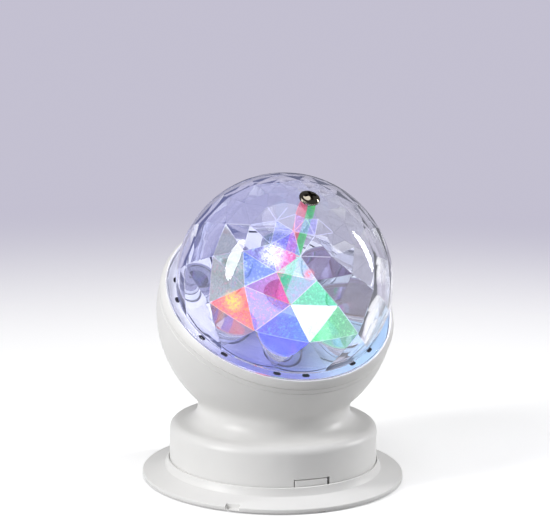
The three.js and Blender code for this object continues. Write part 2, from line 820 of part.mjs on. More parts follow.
// Chassis plate: carries the LED board above and the gears below
function chassisPlate() {
  const plate = rod(chassisRadius, chassisLow, chassisTop, hiddenSteps);
  const holes = atPlaces(deckBossPlaces(), () =>
    rod(shankRadius + seatGap, chassisLow - overrun, chassisTop + overrun, smallSteps));
  const pinHoles = atPlaces([firstGearPlace, secondGearPlace], () =>
    rod(gearPinRadius + seatGap, chassisLow - overrun, bearingRoof, smallSteps));
  const centre = rod(spindleRadius + seatGap, chassisLow - overrun, chassisTop + overrun);
  return cut(plate, ...holes, ...pinHoles, centre);
}

function gearCase() {
  const top = chassisLow - seatGap;
  const cup = rod(caseRadius + caseWall, caseLow, top, hiddenSteps);
  const earLow = top - caseEarHeight;
  const ears = atPlaces(deckBossPlaces(), () => rod(caseEarRadius, earLow, top, smallSteps));
  const arms = deckBossDegs.map((deg) => block(deckBossRingRadius, 2 * caseEarRadius, earLow, top)
    .translate(deckBossRingRadius / 2, 0, 0).rotateZ(THREE.MathUtils.degToRad(deg)));
  const room = rod(caseRadius, caseFloorTop, top + overrun, hiddenSteps);
  const bores = atPlaces(deckBossPlaces(), () =>
    rod(shankRadius + seatGap, earLow - overrun, top + overrun, smallSteps));
  const pinHoles = atPlaces([firstGearPlace, secondGearPlace], () =>
    rod(gearPinRadius + seatGap, bearingFloor, caseFloorTop + overrun, smallSteps));
  const spindleHole = rod(journalRadius + seatGap, bearingFloor, caseFloorTop + overrun, smallSteps);
  const motorHole = rod(motorNoseRadius + seatGap, caseLow - overrun, caseFloorTop + overrun)
    .translate(...motorPlace, 0);
  return cut(joined(cup, ...ears, ...arms), room, ...bores, ...pinHoles, spindleHole, motorHole);
}

// Gears: involute flanks, thinned by the backlash
function gearShape(teeth, boreRadius, turn) {
  const pitch = gearModule * teeth / 2;
  const base = pitch * Math.cos(THREE.MathUtils.degToRad(pressureDeg));
  const involute = (radius) => {
    const angle = Math.acos(base / Math.max(radius, base));
    return Math.tan(angle) - angle;
  };
  const half = Math.PI / (2 * teeth) - gearBacklash / (4 * pitch) + involute(pitch);
  const ends = [pitch - gearDedendum, pitch + gearAddendum];
  const flank = teeth === pinionTeeth ? [ends[0], pitch, ends[1]] : ends;
  const points = [];
  for (let tooth = 0; tooth < teeth; tooth++) {
    const centre = turn + tooth * 2 * Math.PI / teeth;
    flank.forEach((radius) => points.push(polar(radius, centre - half + involute(radius))));
    [...flank].reverse().forEach((radius) => points.push(polar(radius, centre + half - involute(radius))));
  }
  const shape = new THREE.Shape(points);
  if (boreRadius > 0) shape.holes.push(new THREE.Path().absarc(0, 0, boreRadius, 0, 2 * Math.PI));
  return shape;
}

function polar(radius, angle) {
  return new THREE.Vector2(radius * Math.cos(angle), radius * Math.sin(angle));
}

// The turn of a driven gear that puts its gap where the driver's tooth is
function meshTurn(driverTeeth, driverTurn, drivenTeeth, towards) {
  const driverPitch = 2 * Math.PI / driverTeeth;
  const drivenPitch = 2 * Math.PI / drivenTeeth;
  const driverPhase = (towards - driverTurn) / driverPitch;
  const drivenPhase = 0.5 - driverPhase;
  return towards + Math.PI - drivenPhase * drivenPitch;
}

function towardsAngle(from, to) {
  return Math.atan2(to[1] - from[1], to[0] - from[0]);
}

const outputTurn = 0;
const firstSmallTurn = meshTurn(wheelTeeth, outputTurn, pinionTeeth, towardsAngle([0, 0], firstGearPlace));
const secondSmallTurn = meshTurn(wheelTeeth, 0, pinionTeeth, towardsAngle(firstGearPlace, secondGearPlace));
const motorTurn = meshTurn(wheelTeeth, 0, pinionTeeth, towardsAngle(secondGearPlace, motorPlace));

function outputGear() {
  return extruded(gearShape(wheelTeeth, journalRadius + seatGap, outputTurn),
    thirdLayer, thirdLayer + gearWidth);
}

function compoundGear(place, wheelLow, smallTurn) {
  const bore = gearPinRadius + seatGap;
  const wheel = extruded(gearShape(wheelTeeth, bore, 0), wheelLow, wheelLow + gearWidth);
  const small = extruded(gearShape(pinionTeeth, bore, smallTurn),
    wheelLow + gearWidth / 2, wheelLow + layerStep + gearWidth);
  return joined(wheel, small).translate(...place, 0);
}

function motorPinion() {
  const teeth = extruded(gearShape(pinionTeeth, 0, motorTurn), firstLayer, firstLayer + gearWidth);
  const shaftLow = motorTop - motorShaftSink + seatGap;
  const shaft = rod(motorShaftRadius, shaftLow, firstLayer + gearWidth / 2, smallSteps);
  return joined(teeth, shaft).translate(...motorPlace, 0);
}

function gearPin(place) {
  return rod(gearPinRadius, bearingFloor + seatGap, bearingRoof - seatGap, smallSteps).translate(...place, 0);
}

function motorCan() {
  const can = lathed([
    [0, motorLow],
    [motorRadius - wall / 2, motorLow],
    [motorRadius, motorLow + wall / 2],
    [motorRadius, motorTop],
    [motorNoseRadius, motorTop],
    [motorNoseRadius, motorTop + motorNoseHeight],
    [0, motorTop + motorNoseHeight],
  ], midSteps);
  const nose = motorTop + motorNoseHeight + overrun;
  const bore = rod(motorShaftRadius + seatGap, motorTop - motorShaftSink, nose, smallSteps);
  return cut(can, bore).translate(...motorPlace, 0);
}

// Spindle: a thin journal in the gears, a stout post under the dome
function spindle() {
  const shoulder = thirdLayer + gearWidth + seatGap;
  const post = lathed([
    [0, bearingFloor + seatGap],
    [journalRadius, bearingFloor + seatGap],
    [journalRadius, shoulder],
    [spindleRadius, shoulder],
    [spindleRadius, spindleTop],
    [0, spindleTop],
  ], midSteps);
  const bore = rod(domeScrewShank + seatGap, domeCrownLevel - domeScrewReach - overrun,
    spindleTop + overrun, smallSteps);
  return cut(post, bore);
}

// Dome: a smooth ball outside, rings of flat triangles inside
function facetPoints() {
  const rings = [...facetRingDegs, facetSkirtDeg];
  return rings.flatMap((polarDeg, ring) => {
    const angle = THREE.MathUtils.degToRad(polarDeg);
    const row = Math.min(ring, facetRingDegs.length - 1);
    return Array.from({ length: facetCount }, (_, i) => {
      const [x, y] = frontPlace(facetRadius * Math.sin(angle),
        facetStartDeg + (i + (row % 2) / 2) * 360 / facetCount);
      return new THREE.Vector3(x, y, domeCentreLevel + facetRadius * Math.cos(angle));
    });
  });
}

function dome() {
  const centre = [0, domeCentreLevel];
  const foot = THREE.MathUtils.radToDeg(Math.asin((domeFlangeTop - domeCentreLevel) / domeRadius));
  const crown = THREE.MathUtils.radToDeg(Math.acos(domeCrownRadius / domeRadius));
  const ball = lathed([
    [0, domeFlangeLow],
    [domeFlangeRadius, domeFlangeLow],
    [domeFlangeRadius, domeFlangeTop],
    ...arc(centre, domeRadius, foot, crown, domeSteps),
    [0, domeCrownLevel],
  ]);
  const hole = rod(domeScrewShank + seatGap, spindleTop, domeCrownLevel + overrun, smallSteps);
  return cut(ball, new ConvexGeometry(facetPoints()), hole);
}

function domeScrew() {
  const seat = domeCrownLevel + seatGap;
  const edge = seat + domeScrewHeadEdge;
  const top = seat + domeScrewHeadHeight;
  const body = lathed([
    [0, domeCrownLevel - domeScrewReach],
    [domeScrewShank, domeCrownLevel - domeScrewReach],
    [domeScrewShank, seat],
    [domeScrewHeadRadius, seat],
    [domeScrewHeadRadius, edge],
    [domeScrewHeadRadius * domeScrewSlopeShare, top - domeScrewHeadEdge / 2],
    [domeScrewHeadRadius * domeScrewTopShare, top],
    [0, top],
  ], midSteps);
  return cut(body, ...crossRecess(domeCrossWidth, domeCrossReach, top - domeCrossDepth, top + overrun));
}

// The lower, upright part
piece(lamp, 'base_plate', basePlate(), whitePlastic);
footPlaces().forEach(([x, y], i) => {
  const foot = rod(footRadius, 0, footLift + footSink - seatGap).translate(x, y, 0);
  piece(lamp, `foot_${i + 1}`, foot, greyRubber);
});
piece(lamp, 'housing', housing(), whitePlastic);
piece(lamp, 'release_tab', releaseTab(), whitePlastic);
piece(lamp, 'bottom_cover', bottomCover(), whitePlastic);
piece(lamp, 'battery_door', batteryDoor(), whitePlastic);
[0, 1, 2].forEach((row) => piece(lamp, `cell_${row + 1}`, cellAt(row), cellCoat));
piece(lamp, 'contact_negative', contactStrip([0], 0, -1), springSteel);
piece(lamp, 'contact_link_1', contactStrip([0, 1], 1, 1), springSteel);
piece(lamp, 'contact_link_2', contactStrip([1, 2], 2, -1), springSteel);
piece(lamp, 'contact_positive', contactStrip([2], undefined, 1), springSteel);
bossDegs.forEach((deg, i) => {
  const placed = screw(coverScrewReach).translate(...ringPlace(bossRingRadius, deg), coverLow - seatGap);
  piece(lamp, `cover_screw_${i + 1}`, placed, chromeSteel);
});
piece(lamp, 'control_board', controlBoard(), boardGreen);
piece(lamp, 'control_chip', block(chipSide, chipSide, boardSeat, boardSeat + chipHeight), chipBlack);
piece(lamp, 'capacitor', rod(capacitorRadius, boardSeat, boardSeat + capacitorHeight)
  .translate(capacitorX, 0, 0), chipBlack);
piece(lamp, 'switch_body', switchBody(), chromeSteel);
piece(lamp, 'switch_knob', switchKnob(), chipBlack);

// The head, built upright and turned as one
piece(head, 'deck_plate', deckPlate(), deckPlastic);
piece(head, 'spindle_bush', spindleBush(), bushBronze);
piece(head, 'reflector_cups', reflectorCups(), silverCoat);
piece(head, 'led_board', ledBoard(), boardWhite);
ledPlaces().forEach(([x, y], i) => {
  piece(head, `led_${i + 1}`, ledEmitter().translate(x, y, 0), paint(ledColors[i], ledRoughness));
  piece(head, `led_lens_${i + 1}`, ledLens().translate(x, y, 0), clearPlastic);
});
piece(head, 'chassis_plate', chassisPlate(), whitePlastic);
piece(head, 'gear_case', gearCase(), whitePlastic);
deckBossPlaces().forEach(([x, y], i) => {
  const seat = chassisLow - 2 * seatGap - caseEarHeight;
  piece(head, `chassis_screw_${i + 1}`, screw(chassisScrewReach).translate(x, y, seat), chromeSteel);
});
piece(head, 'gear_pin_1', gearPin(firstGearPlace), chromeSteel);
piece(head, 'gear_pin_2', gearPin(secondGearPlace), chromeSteel);
piece(head, 'motor', motorCan(), motorSteel);
piece(head, 'motor_pinion', motorPinion(), bushBronze);
piece(head, 'reduction_gear_2', compoundGear(secondGearPlace, firstLayer, secondSmallTurn), gearPlastic);
piece(head, 'reduction_gear_1', compoundGear(firstGearPlace, secondLayer, firstSmallTurn), gearPlastic);
piece(head, 'output_gear', outputGear(), gearPlastic);
piece(head, 'spindle', spindle(), whitePlastic);
piece(head, 'dome', dome(), clearPlastic);
piece(head, 'dome_screw', domeScrew(), chromeSteel);

export default lamp;
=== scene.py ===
import json
import math
import bpy
from mathutils import Matrix, Vector


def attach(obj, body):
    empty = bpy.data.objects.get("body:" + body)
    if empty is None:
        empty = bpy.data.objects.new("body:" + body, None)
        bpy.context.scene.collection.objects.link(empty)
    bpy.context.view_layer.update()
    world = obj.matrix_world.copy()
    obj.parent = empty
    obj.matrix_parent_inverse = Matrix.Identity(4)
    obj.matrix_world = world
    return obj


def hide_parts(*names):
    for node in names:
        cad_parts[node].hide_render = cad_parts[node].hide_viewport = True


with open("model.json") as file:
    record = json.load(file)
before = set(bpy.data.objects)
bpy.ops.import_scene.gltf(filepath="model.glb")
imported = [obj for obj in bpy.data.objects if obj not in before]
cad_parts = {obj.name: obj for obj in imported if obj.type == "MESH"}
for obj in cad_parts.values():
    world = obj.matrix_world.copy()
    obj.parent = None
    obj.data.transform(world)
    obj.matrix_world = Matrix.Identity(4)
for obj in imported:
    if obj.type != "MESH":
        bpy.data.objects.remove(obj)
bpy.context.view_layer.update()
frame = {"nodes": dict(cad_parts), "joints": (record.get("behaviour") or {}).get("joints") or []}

mm = 0.001  # sizes in the dictionaries below are in millimetres
fine = 2e-5  # how near two points are the same place, in metres

# The dome's axis leans forwards; the head frame stands upright on it, with the bowl's centre at zero
spin = next(joint for joint in frame["joints"] if joint["name"] == "dome_spin")
lean = math.acos(spin["axis"][2])
upright = Matrix.Identity(4)
headFrame = Matrix.Translation(Vector(spin["pos_m"])) @ Matrix.Rotation(lean, 4, "X")
print("frame loaded, the dome leans", round(math.degrees(lean), 2), "degrees")


# Lowest and highest level, and furthest reach from the axis, in millimetres
def spanOf(node, placed=upright):
    points = [placed.inverted() @ vertex.co / mm for vertex in frame["nodes"][node].data.vertices]
    heights = [point.z for point in points]
    reach = max(math.hypot(point.x, point.y) for point in points)
    return {"low": min(heights), "high": max(heights), "reach": reach}


# Lowest and highest corner of a node, in millimetres
def boxOf(node):
    points = [vertex.co / mm for vertex in frame["nodes"][node].data.vertices]
    return [Vector([pick(point[axis] for point in points) for axis in range(3)]) for pick in (min, max)]


# Modelling helpers: each is a few steps of handwork
def letGo():
    if bpy.context.object and bpy.context.object.mode != "OBJECT":
        bpy.ops.object.mode_set(mode="OBJECT")
    bpy.ops.object.select_all(action="DESELECT")


def hold(piece):
    letGo()
    piece.select_set(True)
    bpy.context.view_layer.objects.active = piece


def edit(piece):
    hold(piece)
    bpy.ops.object.mode_set(mode="EDIT")
    bpy.ops.mesh.select_mode(type="VERT")


def named(piece, name):
    piece.name = name
    piece.data.name = name
    return piece


def shift(x, y, z):
    return Matrix.Translation(Vector((x, y, z)) * mm)


def place(piece, matrix):
    hold(piece)
    piece.matrix_world = matrix @ piece.matrix_world
    bpy.ops.object.transform_apply(location=True, rotation=True, scale=True)
    return piece


def arc(centre, radius, fromDeg, toDeg, steps):
    angles = [math.radians(fromDeg + (toDeg - fromDeg) * i / steps) for i in range(steps + 1)]
    return [(centre[0] + radius * math.cos(a), centre[1] + radius * math.sin(a)) for a in angles]


# A rounded corner of an outline, from the place where the sharp one would be
def rounded(x, y, radius, fromDeg, toDeg, steps):
    across = radius if fromDeg == 90 else -radius
    up = radius if fromDeg == 270 else -radius
    return arc((x + across, y + up), radius, fromDeg, toDeg, steps)


def tidyMesh():
    bpy.ops.mesh.select_all(action="SELECT")
    bpy.ops.mesh.remove_doubles(threshold=fine)
    bpy.ops.mesh.normals_make_consistent(inside=False)


# An outline of (radius, height) points, drawn vertex by vertex and spun about the vertical.
# One that starts on the axis also ends there, any other is closed
def turned(name, outline, steps=128, sweepDeg=360, startDeg=0):
    letGo()
    bpy.ops.mesh.primitive_plane_add(size=mm)
    piece = named(bpy.context.object, name)
    bpy.ops.object.mode_set(mode="EDIT")
    bpy.ops.mesh.merge(type="CENTER")
    start = math.radians(startDeg)
    ends = [Vector((r * math.cos(start), r * math.sin(start), h)) * mm for r, h in outline]
    if outline[0][0] > fine:
        ends.append(ends[0])
    bpy.ops.transform.translate(value=ends[0])
    for here, there in zip(ends, ends[1:]):
        bpy.ops.mesh.extrude_vertices_move(TRANSFORM_OT_translate={"value": there - here})
    bpy.ops.mesh.select_all(action="SELECT")
    bpy.ops.mesh.remove_doubles(threshold=fine)
    if sweepDeg < 360:
        bpy.ops.mesh.edge_face_add()
    bpy.ops.mesh.spin(steps=steps, angle=-math.radians(sweepDeg), center=(0, 0, 0), axis=(0, 0, 1))
    tidyMesh()
    bpy.ops.object.mode_set(mode="OBJECT")
    return piece


# A block between two corners, in millimetres
def boxed(name, low, high):
    letGo()
    low, high = Vector(low) * mm, Vector(high) * mm
    bpy.ops.mesh.primitive_cube_add(size=1, location=(low + high) / 2, scale=high - low)
    bpy.ops.object.transform_apply(location=True, rotation=True, scale=True)
    return named(bpy.context.object, name)


def rod(name, radius, low, high, at=(0, 0), steps=32):
    letGo()
    middle = Vector((at[0], at[1], (low + high) / 2)) * mm
    high, radius = (high - low) * mm, radius * mm
    bpy.ops.mesh.primitive_cylinder_add(vertices=steps, radius=radius, depth=high, location=middle)
    bpy.ops.object.transform_apply(location=True, rotation=True, scale=True)
    return named(bpy.context.object, name)


def copied(piece, matrix, name=""):
    twin = piece.copy()
    twin.data = piece.data.copy()
    bpy.context.scene.collection.objects.link(twin)
    return named(place(twin, matrix), name or piece.name)


def gathered(pieces):
    hold(pieces[0])
    for piece in pieces:
        piece.select_set(True)
    bpy.ops.object.join()
    return pieces[0]


def modified(piece, kind, **settings):
    hold(piece)
    step = piece.modifiers.new("step", kind)
    for name, value in settings.items():
        setattr(step, name, value)
    bpy.ops.object.modifier_apply(modifier=step.name)
    return piece


def combined(piece, tool, operation):
    modified(piece, "BOOLEAN", operation=operation, object=tool, solver="EXACT",
             use_self=operation == "UNION")
    bpy.data.objects.remove(tool)
    edit(piece)
    bpy.ops.mesh.select_all(action="SELECT")
    bpy.ops.mesh.dissolve_degenerate(threshold=fine / 4)
    bpy.ops.mesh.delete_loose()
    bpy.ops.object.mode_set(mode="OBJECT")
    return piece


def cutBy(piece, *tools):
    for tool in tools:
        combined(piece, tool, "DIFFERENCE")
    return piece


def joinedTo(piece, *others):
    for other in others:
        combined(piece, other, "UNION")
    return piece


def bevelled(piece, width, segments=2, limitDeg=30):
    return modified(piece, "BEVEL", width=width * mm, segments=segments, limit_method="ANGLE",
                    angle_limit=math.radians(limitDeg))


def smoothed(piece, limitDeg=32):
    hold(piece)
    bpy.ops.object.shade_smooth_by_angle(angle=math.radians(limitDeg))
    return piece


# A place on a ring, counted from the front towards the right, turned to face outwards
def turnAt(deg, radius=0, height=0):
    return Matrix.Rotation(math.radians(deg), 4, "Z") @ shift(0, -radius, height)


# The piece and its copies, evenly round the vertical
def around(piece, count):
    return [piece] + [copied(piece, turnAt(i * 360 / count)) for i in range(1, count)]


def rodsAt(name, radius, low, high, degs, ring, steps=32):
    return gathered([place(rod(name, radius, low, high, steps=steps), turnAt(deg, ring)) for deg in degs])


# A pin that lies across the part, from side to side
def crossPin(radius, reach, y, z, steps=20):
    across = shift(0, y, z) @ Matrix.Rotation(math.pi / 2, 4, "Y")
    return place(rod("pin", radius, -reach, reach, steps=steps), across)


def numbered(pieces, name):
    return [named(piece, f"{name}_{i + 1}") for i, piece in enumerate(pieces)]


def finished(piece, material, slot, *nodes, body="lamp"):
    piece.data.materials.clear()
    piece.data.materials.append(material)
    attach(piece, body)
    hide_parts(*nodes)
    return piece


def blend(first, second, share):
    return tuple(a + (b - a) * share for a, b in zip(first, second))


# Materials: every input is a number, a colour or another node's output
def setInput(owner, node, socket, value):
    if isinstance(value, bpy.types.NodeSocket):
        owner.node_tree.links.new(value, node.inputs[socket])
    else:
        node.inputs[socket].default_value = value


def addNode(owner, kind, inputs, **settings):
    node = owner.node_tree.nodes.new("ShaderNode" + kind)
    for name, value in settings.items():
        setattr(node, name, value)
    for socket, value in inputs.items():
        setInput(owner, node, socket, value)
    return node


def shaderOf(material):
    return material.node_tree.nodes["Principled BSDF"]


def feed(material, **sockets):
    for socket, value in sockets.items():
        setInput(material, shaderOf(material), socket.replace("_", " "), value)


def newMaterial(name, color, roughness, metallic=0.0, **sockets):
    material = bpy.data.materials.new(name)
    material.use_nodes = True
    feed(material, Base_Color=(*color, 1), Roughness=roughness, Metallic=metallic, **sockets)
    return material


def objectPlace(owner):
    return addNode(owner, "TexCoord", {}).outputs["Object"]


def noise(owner, scale, detail=2.0, roughness=0.5, stretch=(1, 1, 1)):
    mapping = addNode(owner, "Mapping", {"Vector": objectPlace(owner), "Scale": stretch})
    inputs = {"Vector": mapping.outputs["Vector"], "Scale": scale, "Detail": detail, "Roughness": roughness}
    return addNode(owner, "TexNoise", inputs).outputs["Fac"]


# Two colours with a soft step between them
def ramped(owner, value, stops):
    ramp = addNode(owner, "ValToRGB", {"Fac": value})
    for element, (position, color) in zip(ramp.color_ramp.elements, stops):
        element.position = position
        element.color = (*color, 1)
    return ramp.outputs["Color"]


def ranged(owner, value, toLow, toHigh, low=0.0, high=1.0, way="LINEAR"):
    inputs = {"Value": value, "From Min": low, "From Max": high, "To Min": toLow, "To Max": toHigh}
    return addNode(owner, "MapRange", inputs, interpolation_type=way).outputs["Result"]


def stepped(owner, value, low, high, toLow=0.0, toHigh=1.0):
    return ranged(owner, value, toLow, toHigh, low, high, "SMOOTHSTEP")


def ownColor(owner, name):
    return addNode(owner, "Attribute", {}, attribute_name=name).outputs["Color"]


def mixed(owner, share, first, second, mode="MIX"):
    inputs = {0: share, 6: first, 7: second}  # the mix node's sockets for colours
    return addNode(owner, "Mix", inputs, data_type="RGBA", blend_type=mode).outputs[2]


def apartFrom(owner, point):
    inputs = {0: objectPlace(owner), 1: point}
    return addNode(owner, "VectorMath", inputs, operation="DISTANCE").outputs["Value"]


# A soft round spot, one inside and nothing outside, with its two radii in millimetres
def spotShare(owner, at, inner, outer):
    return stepped(owner, apartFrom(owner, at), inner * mm, outer * mm, 1.0, 0.0)


# The sum or product of two shares, kept between 0 and 1
def counted(owner, operation, first, second):
    return addNode(owner, "Math", {0: first, 1: second}, operation=operation, use_clamp=True).outputs[0]


def addBump(owner, value, strength, distance):
    bump = addNode(owner, "Bump", {"Height": value, "Strength": strength, "Distance": distance * mm})
    feed(owner, Normal=bump.outputs["Normal"])


plasticLook = {"cloud": 38, "darker": 0.965, "shine": 160, "shineFrom": 0.85, "shineTo": 1.15, "bump": 0.25}
metalLook = {
    "duller": 0.86, "stretch": (1, 0.08, 1), "shine": 260, "shineFrom": 0.7, "shineTo": 1.4,
    "bump": 0.12, "bumpDeep": 0.01,
}
clearLook = {"wave": 45, "bump": 0.1, "bumpDeep": 0.05}


def uneven(material, roughness, look):
    blotches = noise(material, look["shine"], 4)
    return ranged(material, blotches, roughness * look["shineFrom"], roughness * look["shineTo"])


# Moulded plastic: a fine grain, slightly cloudy colour and an uneven shine
def moulded(name, color, roughness, grain=2200, depth=0.02, **sockets):
    look = plasticLook
    material = newMaterial(name, color, roughness, **sockets)
    cloud = noise(material, look["cloud"], 3)
    darker = tuple(part * look["darker"] for part in color)
    feed(material, Base_Color=ramped(material, cloud, [(0.35, darker), (0.65, color)]),
         Roughness=uneven(material, roughness, look))
    addBump(material, noise(material, grain, 2), look["bump"], depth)
    return material


# Plated or drawn metal: faint scratches along one way and a blotched shine
def plated(name, color, roughness, scratch=900, **sockets):
    look = metalLook
    material = newMaterial(name, color, roughness, 1.0, **sockets)
    lines = noise(material, scratch, 3, 0.6, stretch=look["stretch"])
    dull = tuple(part * look["duller"] for part in color)
    feed(material, Base_Color=ramped(material, lines, [(0.3, dull), (0.7, color)]),
         Roughness=uneven(material, roughness, look))
    addBump(material, lines, look["bump"], look["bumpDeep"])
    return material


# Clear plastic: refracts what is behind it, and lets the lamps' light through
def clear(name, color, roughness, ior, shadowTint):
    look = clearLook
    material = newMaterial(name, color, roughness, IOR=ior, Transmission_Weight=1.0)
    addBump(material, noise(material, look["wave"], 2), look["bump"], look["bumpDeep"])
    straight = addNode(material, "BsdfTransparent", {"Color": (*shadowTint, 1)})
    shadow = addNode(material, "LightPath", {}).outputs["Is Shadow Ray"]
    inputs = {0: shadow, 1: shaderOf(material).outputs[0], 2: straight.outputs[0]}
    mix = addNode(material, "MixShader", inputs)
    setInput(material, material.node_tree.nodes["Material Output"], "Surface", mix.outputs[0])
    return material


shellWhite = moulded("shellWhite", (0.85, 0.845, 0.83), 0.4)
innerWhite = moulded("innerWhite", (0.78, 0.77, 0.74), 0.5)
footRubber = moulded("footRubber", (0.075, 0.075, 0.08), 0.85, grain=3200, depth=0.05)
gearAcetal = moulded("gearAcetal", (0.82, 0.81, 0.76), 0.42)
boardGreen = moulded("boardGreen", (0.02, 0.11, 0.05), 0.35)
boardWhite = moulded("boardWhite", (0.8, 0.81, 0.78), 0.45)
chipBlack = moulded("chipBlack", (0.012, 0.012, 0.014), 0.45, grain=3600, depth=0.04)
cellSleeve = moulded("cellSleeve", (0.03, 0.12, 0.06), 0.25, Coat_Weight=0.5)
screwChrome = plated("screwChrome", (0.55, 0.56, 0.6), 0.12)
# The dome screw's chrome has a dark brown base colour: a painted dark reflection of dark surroundings
screwDark = plated("screwDark", (0.22, 0.2, 0.16), 0.07)
springNickel = plated("springNickel", (0.62, 0.6, 0.56), 0.25)
motorZinc = plated("motorZinc", (0.5, 0.51, 0.54), 0.34)
bushBronze = plated("bushBronze", (0.44, 0.27, 0.1), 0.3)
cupSilver = plated("cupSilver", (0.8, 0.82, 0.86), 0.06, scratch=500)
print("materials made")


# Base plate: flange, collar and edge notch
plate = {
    "bore": 41.0, "edge": 56.0, "lift": 0.5, "edgeTop": 2.4, "edgeRound": 0.45,
    "collarFoot": 46.4, "collarFootHeight": 4.4, "collarBore": 44.8, "collarOut": 45.6,
    "collarTop": 7.8, "collarRound": 0.35, "floorTop": 2.5, "footFillet": 0.45,
    "notchDeg": -38.0, "notchWidth": 6.0, "notchDepth": 2.4, "notchFloor": 1.1,
    "pinRadius": 0.6, "pinInset": 1.1, "footRadius": 4.6, "footSink": 0.8, "footRing": 50.4,
    "footEdge": 0.25, "feet": 3, "gap": 0.3,
}


def basePlate(s):
    foot, height, fillet = s["collarFoot"], s["collarFootHeight"], s["footFillet"]
    outline = [
        (s["bore"], s["lift"]),
        *rounded(s["edge"], s["lift"], s["edgeRound"], 270, 360, 4),
        *rounded(s["edge"], s["edgeTop"], s["edgeRound"], 0, 88, 5),
        (foot + fillet, height - 0.2 * fillet), (foot + 0.4 * fillet, height + 0.12 * fillet),
        (foot, height + 0.6 * fillet), *rounded(s["collarOut"], s["collarTop"], s["collarRound"], 0, 90, 4),
        (s["collarBore"], s["collarTop"]), (s["collarBore"], s["floorTop"]), (s["bore"], s["floorTop"]),
    ]
    piece = turned("flange_plate", outline, 192)
    half, deep = s["notchWidth"] / 2, s["notchDepth"]
    notchAt = turnAt(s["notchDeg"], s["edge"])
    notch = place(boxed("notch", (-half, -deep, s["notchFloor"]), (half, deep, s["collarTop"])), notchAt)
    pin = rod("pin", s["pinRadius"], -1, s["collarTop"], steps=20)
    cutBy(piece, notch, place(pin, notchAt @ shift(s["pinInset"] - half, deep / 2, 0)))
    for i in range(s["feet"]):
        seat = rod("seat", s["footRadius"] + s["gap"], -1, s["lift"] + s["footSink"], steps=40)
        cutBy(piece, place(seat, turnAt(i * 360 / s["feet"], s["footRing"])))
    return smoothed(piece)


def rubberFeet(s):
    top = s["lift"] + s["footSink"] - s["gap"]
    outline = [(0, 0), *rounded(s["footRadius"], 0, s["footEdge"], 270, 360, 3),
               (s["footRadius"], top), (0, top)]
    foot = place(smoothed(turned("foot", outline, 48)), turnAt(0, s["footRing"]))
    return numbered(around(foot, s["feet"]), "rubber_foot")


finished(basePlate(plate), shellWhite, "white_plastic", "base_plate")
for i, foot in enumerate(rubberFeet(plate)):
    finished(foot, footRubber, "grey_rubber", f"foot_{i + 1}")
print("base plate and feet made")


# Housing: drum, neck and bowl as one turned shell, cut by the mouth's plane, with a turned rim
shell = {
    "foot": 2.8, "drum": 44.5, "shoulderRound": 3.5, "shoulderFlat": 2.0, "fillet": 6.4,
    "bowl": 50.5, "wall": 2.2, "lip": 8.4, "lipInner": 48.2, "lipOuter": 49.0, "lipRound": 0.25,
    "band": 3.1, "proud": 0.3, "grooves": ((0.2, 0.45, 0.4), (2.6, 0.5, 0.2)), "lean": 0.37,
    "ledgeTop": 4.7, "ledge": 45.8, "ledgeDepth": 1.5, "steps": 160,
    "tabWidth": 15.6, "tabTop": 10.8, "switchLevel": 14.0, "recess": (15.0, 7.0, 0.8), "slot": (8.6, 3.6),
    "pinBore": 0.8, "pinReach": 9.3, "pinInset": 2.0, "pinLevel": 4.6,
    "boss": 3.5, "bossBore": 1.8, "bossRing": 37.5, "bossLow": 5.4, "bossHigh": 22.9,
    "bossDegs": (30, 150, 210, 330), "ribSide": 7.05, "ribWide": 1.5, "ribBack": 37.57, "ribLow": 11.5,
    "ribHigh": 16.5,
}


def shellOutline(s, inset, foot):
    height = headFrame.translation.z / mm
    neck = s["drum"] - s["shoulderRound"] - s["shoulderFlat"] - s["fillet"]
    rise = math.sqrt((s["bowl"] + s["fillet"]) ** 2 - (neck + s["fillet"]) ** 2)
    shoulder = height - s["fillet"] - rise
    centre = (neck + s["fillet"], shoulder + s["fillet"])
    meets = math.degrees(math.atan2(rise, -centre[0]))
    corner = (s["drum"] - s["shoulderRound"], shoulder - s["shoulderRound"])
    return [
        (0, foot),
        (s["drum"] - inset, foot),
        *arc(corner, s["shoulderRound"] - inset, 0, 90, 8),
        *arc(centre, s["fillet"] + inset, 270, meets, 14),
        *arc((0, height), s["bowl"] - inset, meets - 180, 90, 40)[1:],
    ]


# Cuts the top off a solid in the head frame, and leaves the new flat face selected
def levelled(piece, level):
    place(piece, headFrame.inverted())
    edit(piece)
    bpy.ops.mesh.select_all(action="SELECT")
    bpy.ops.mesh.bisect(plane_co=(0, 0, level * mm), plane_no=(0, 0, 1), use_fill=True, clear_outer=True,
                        threshold=fine / 100)
    return piece


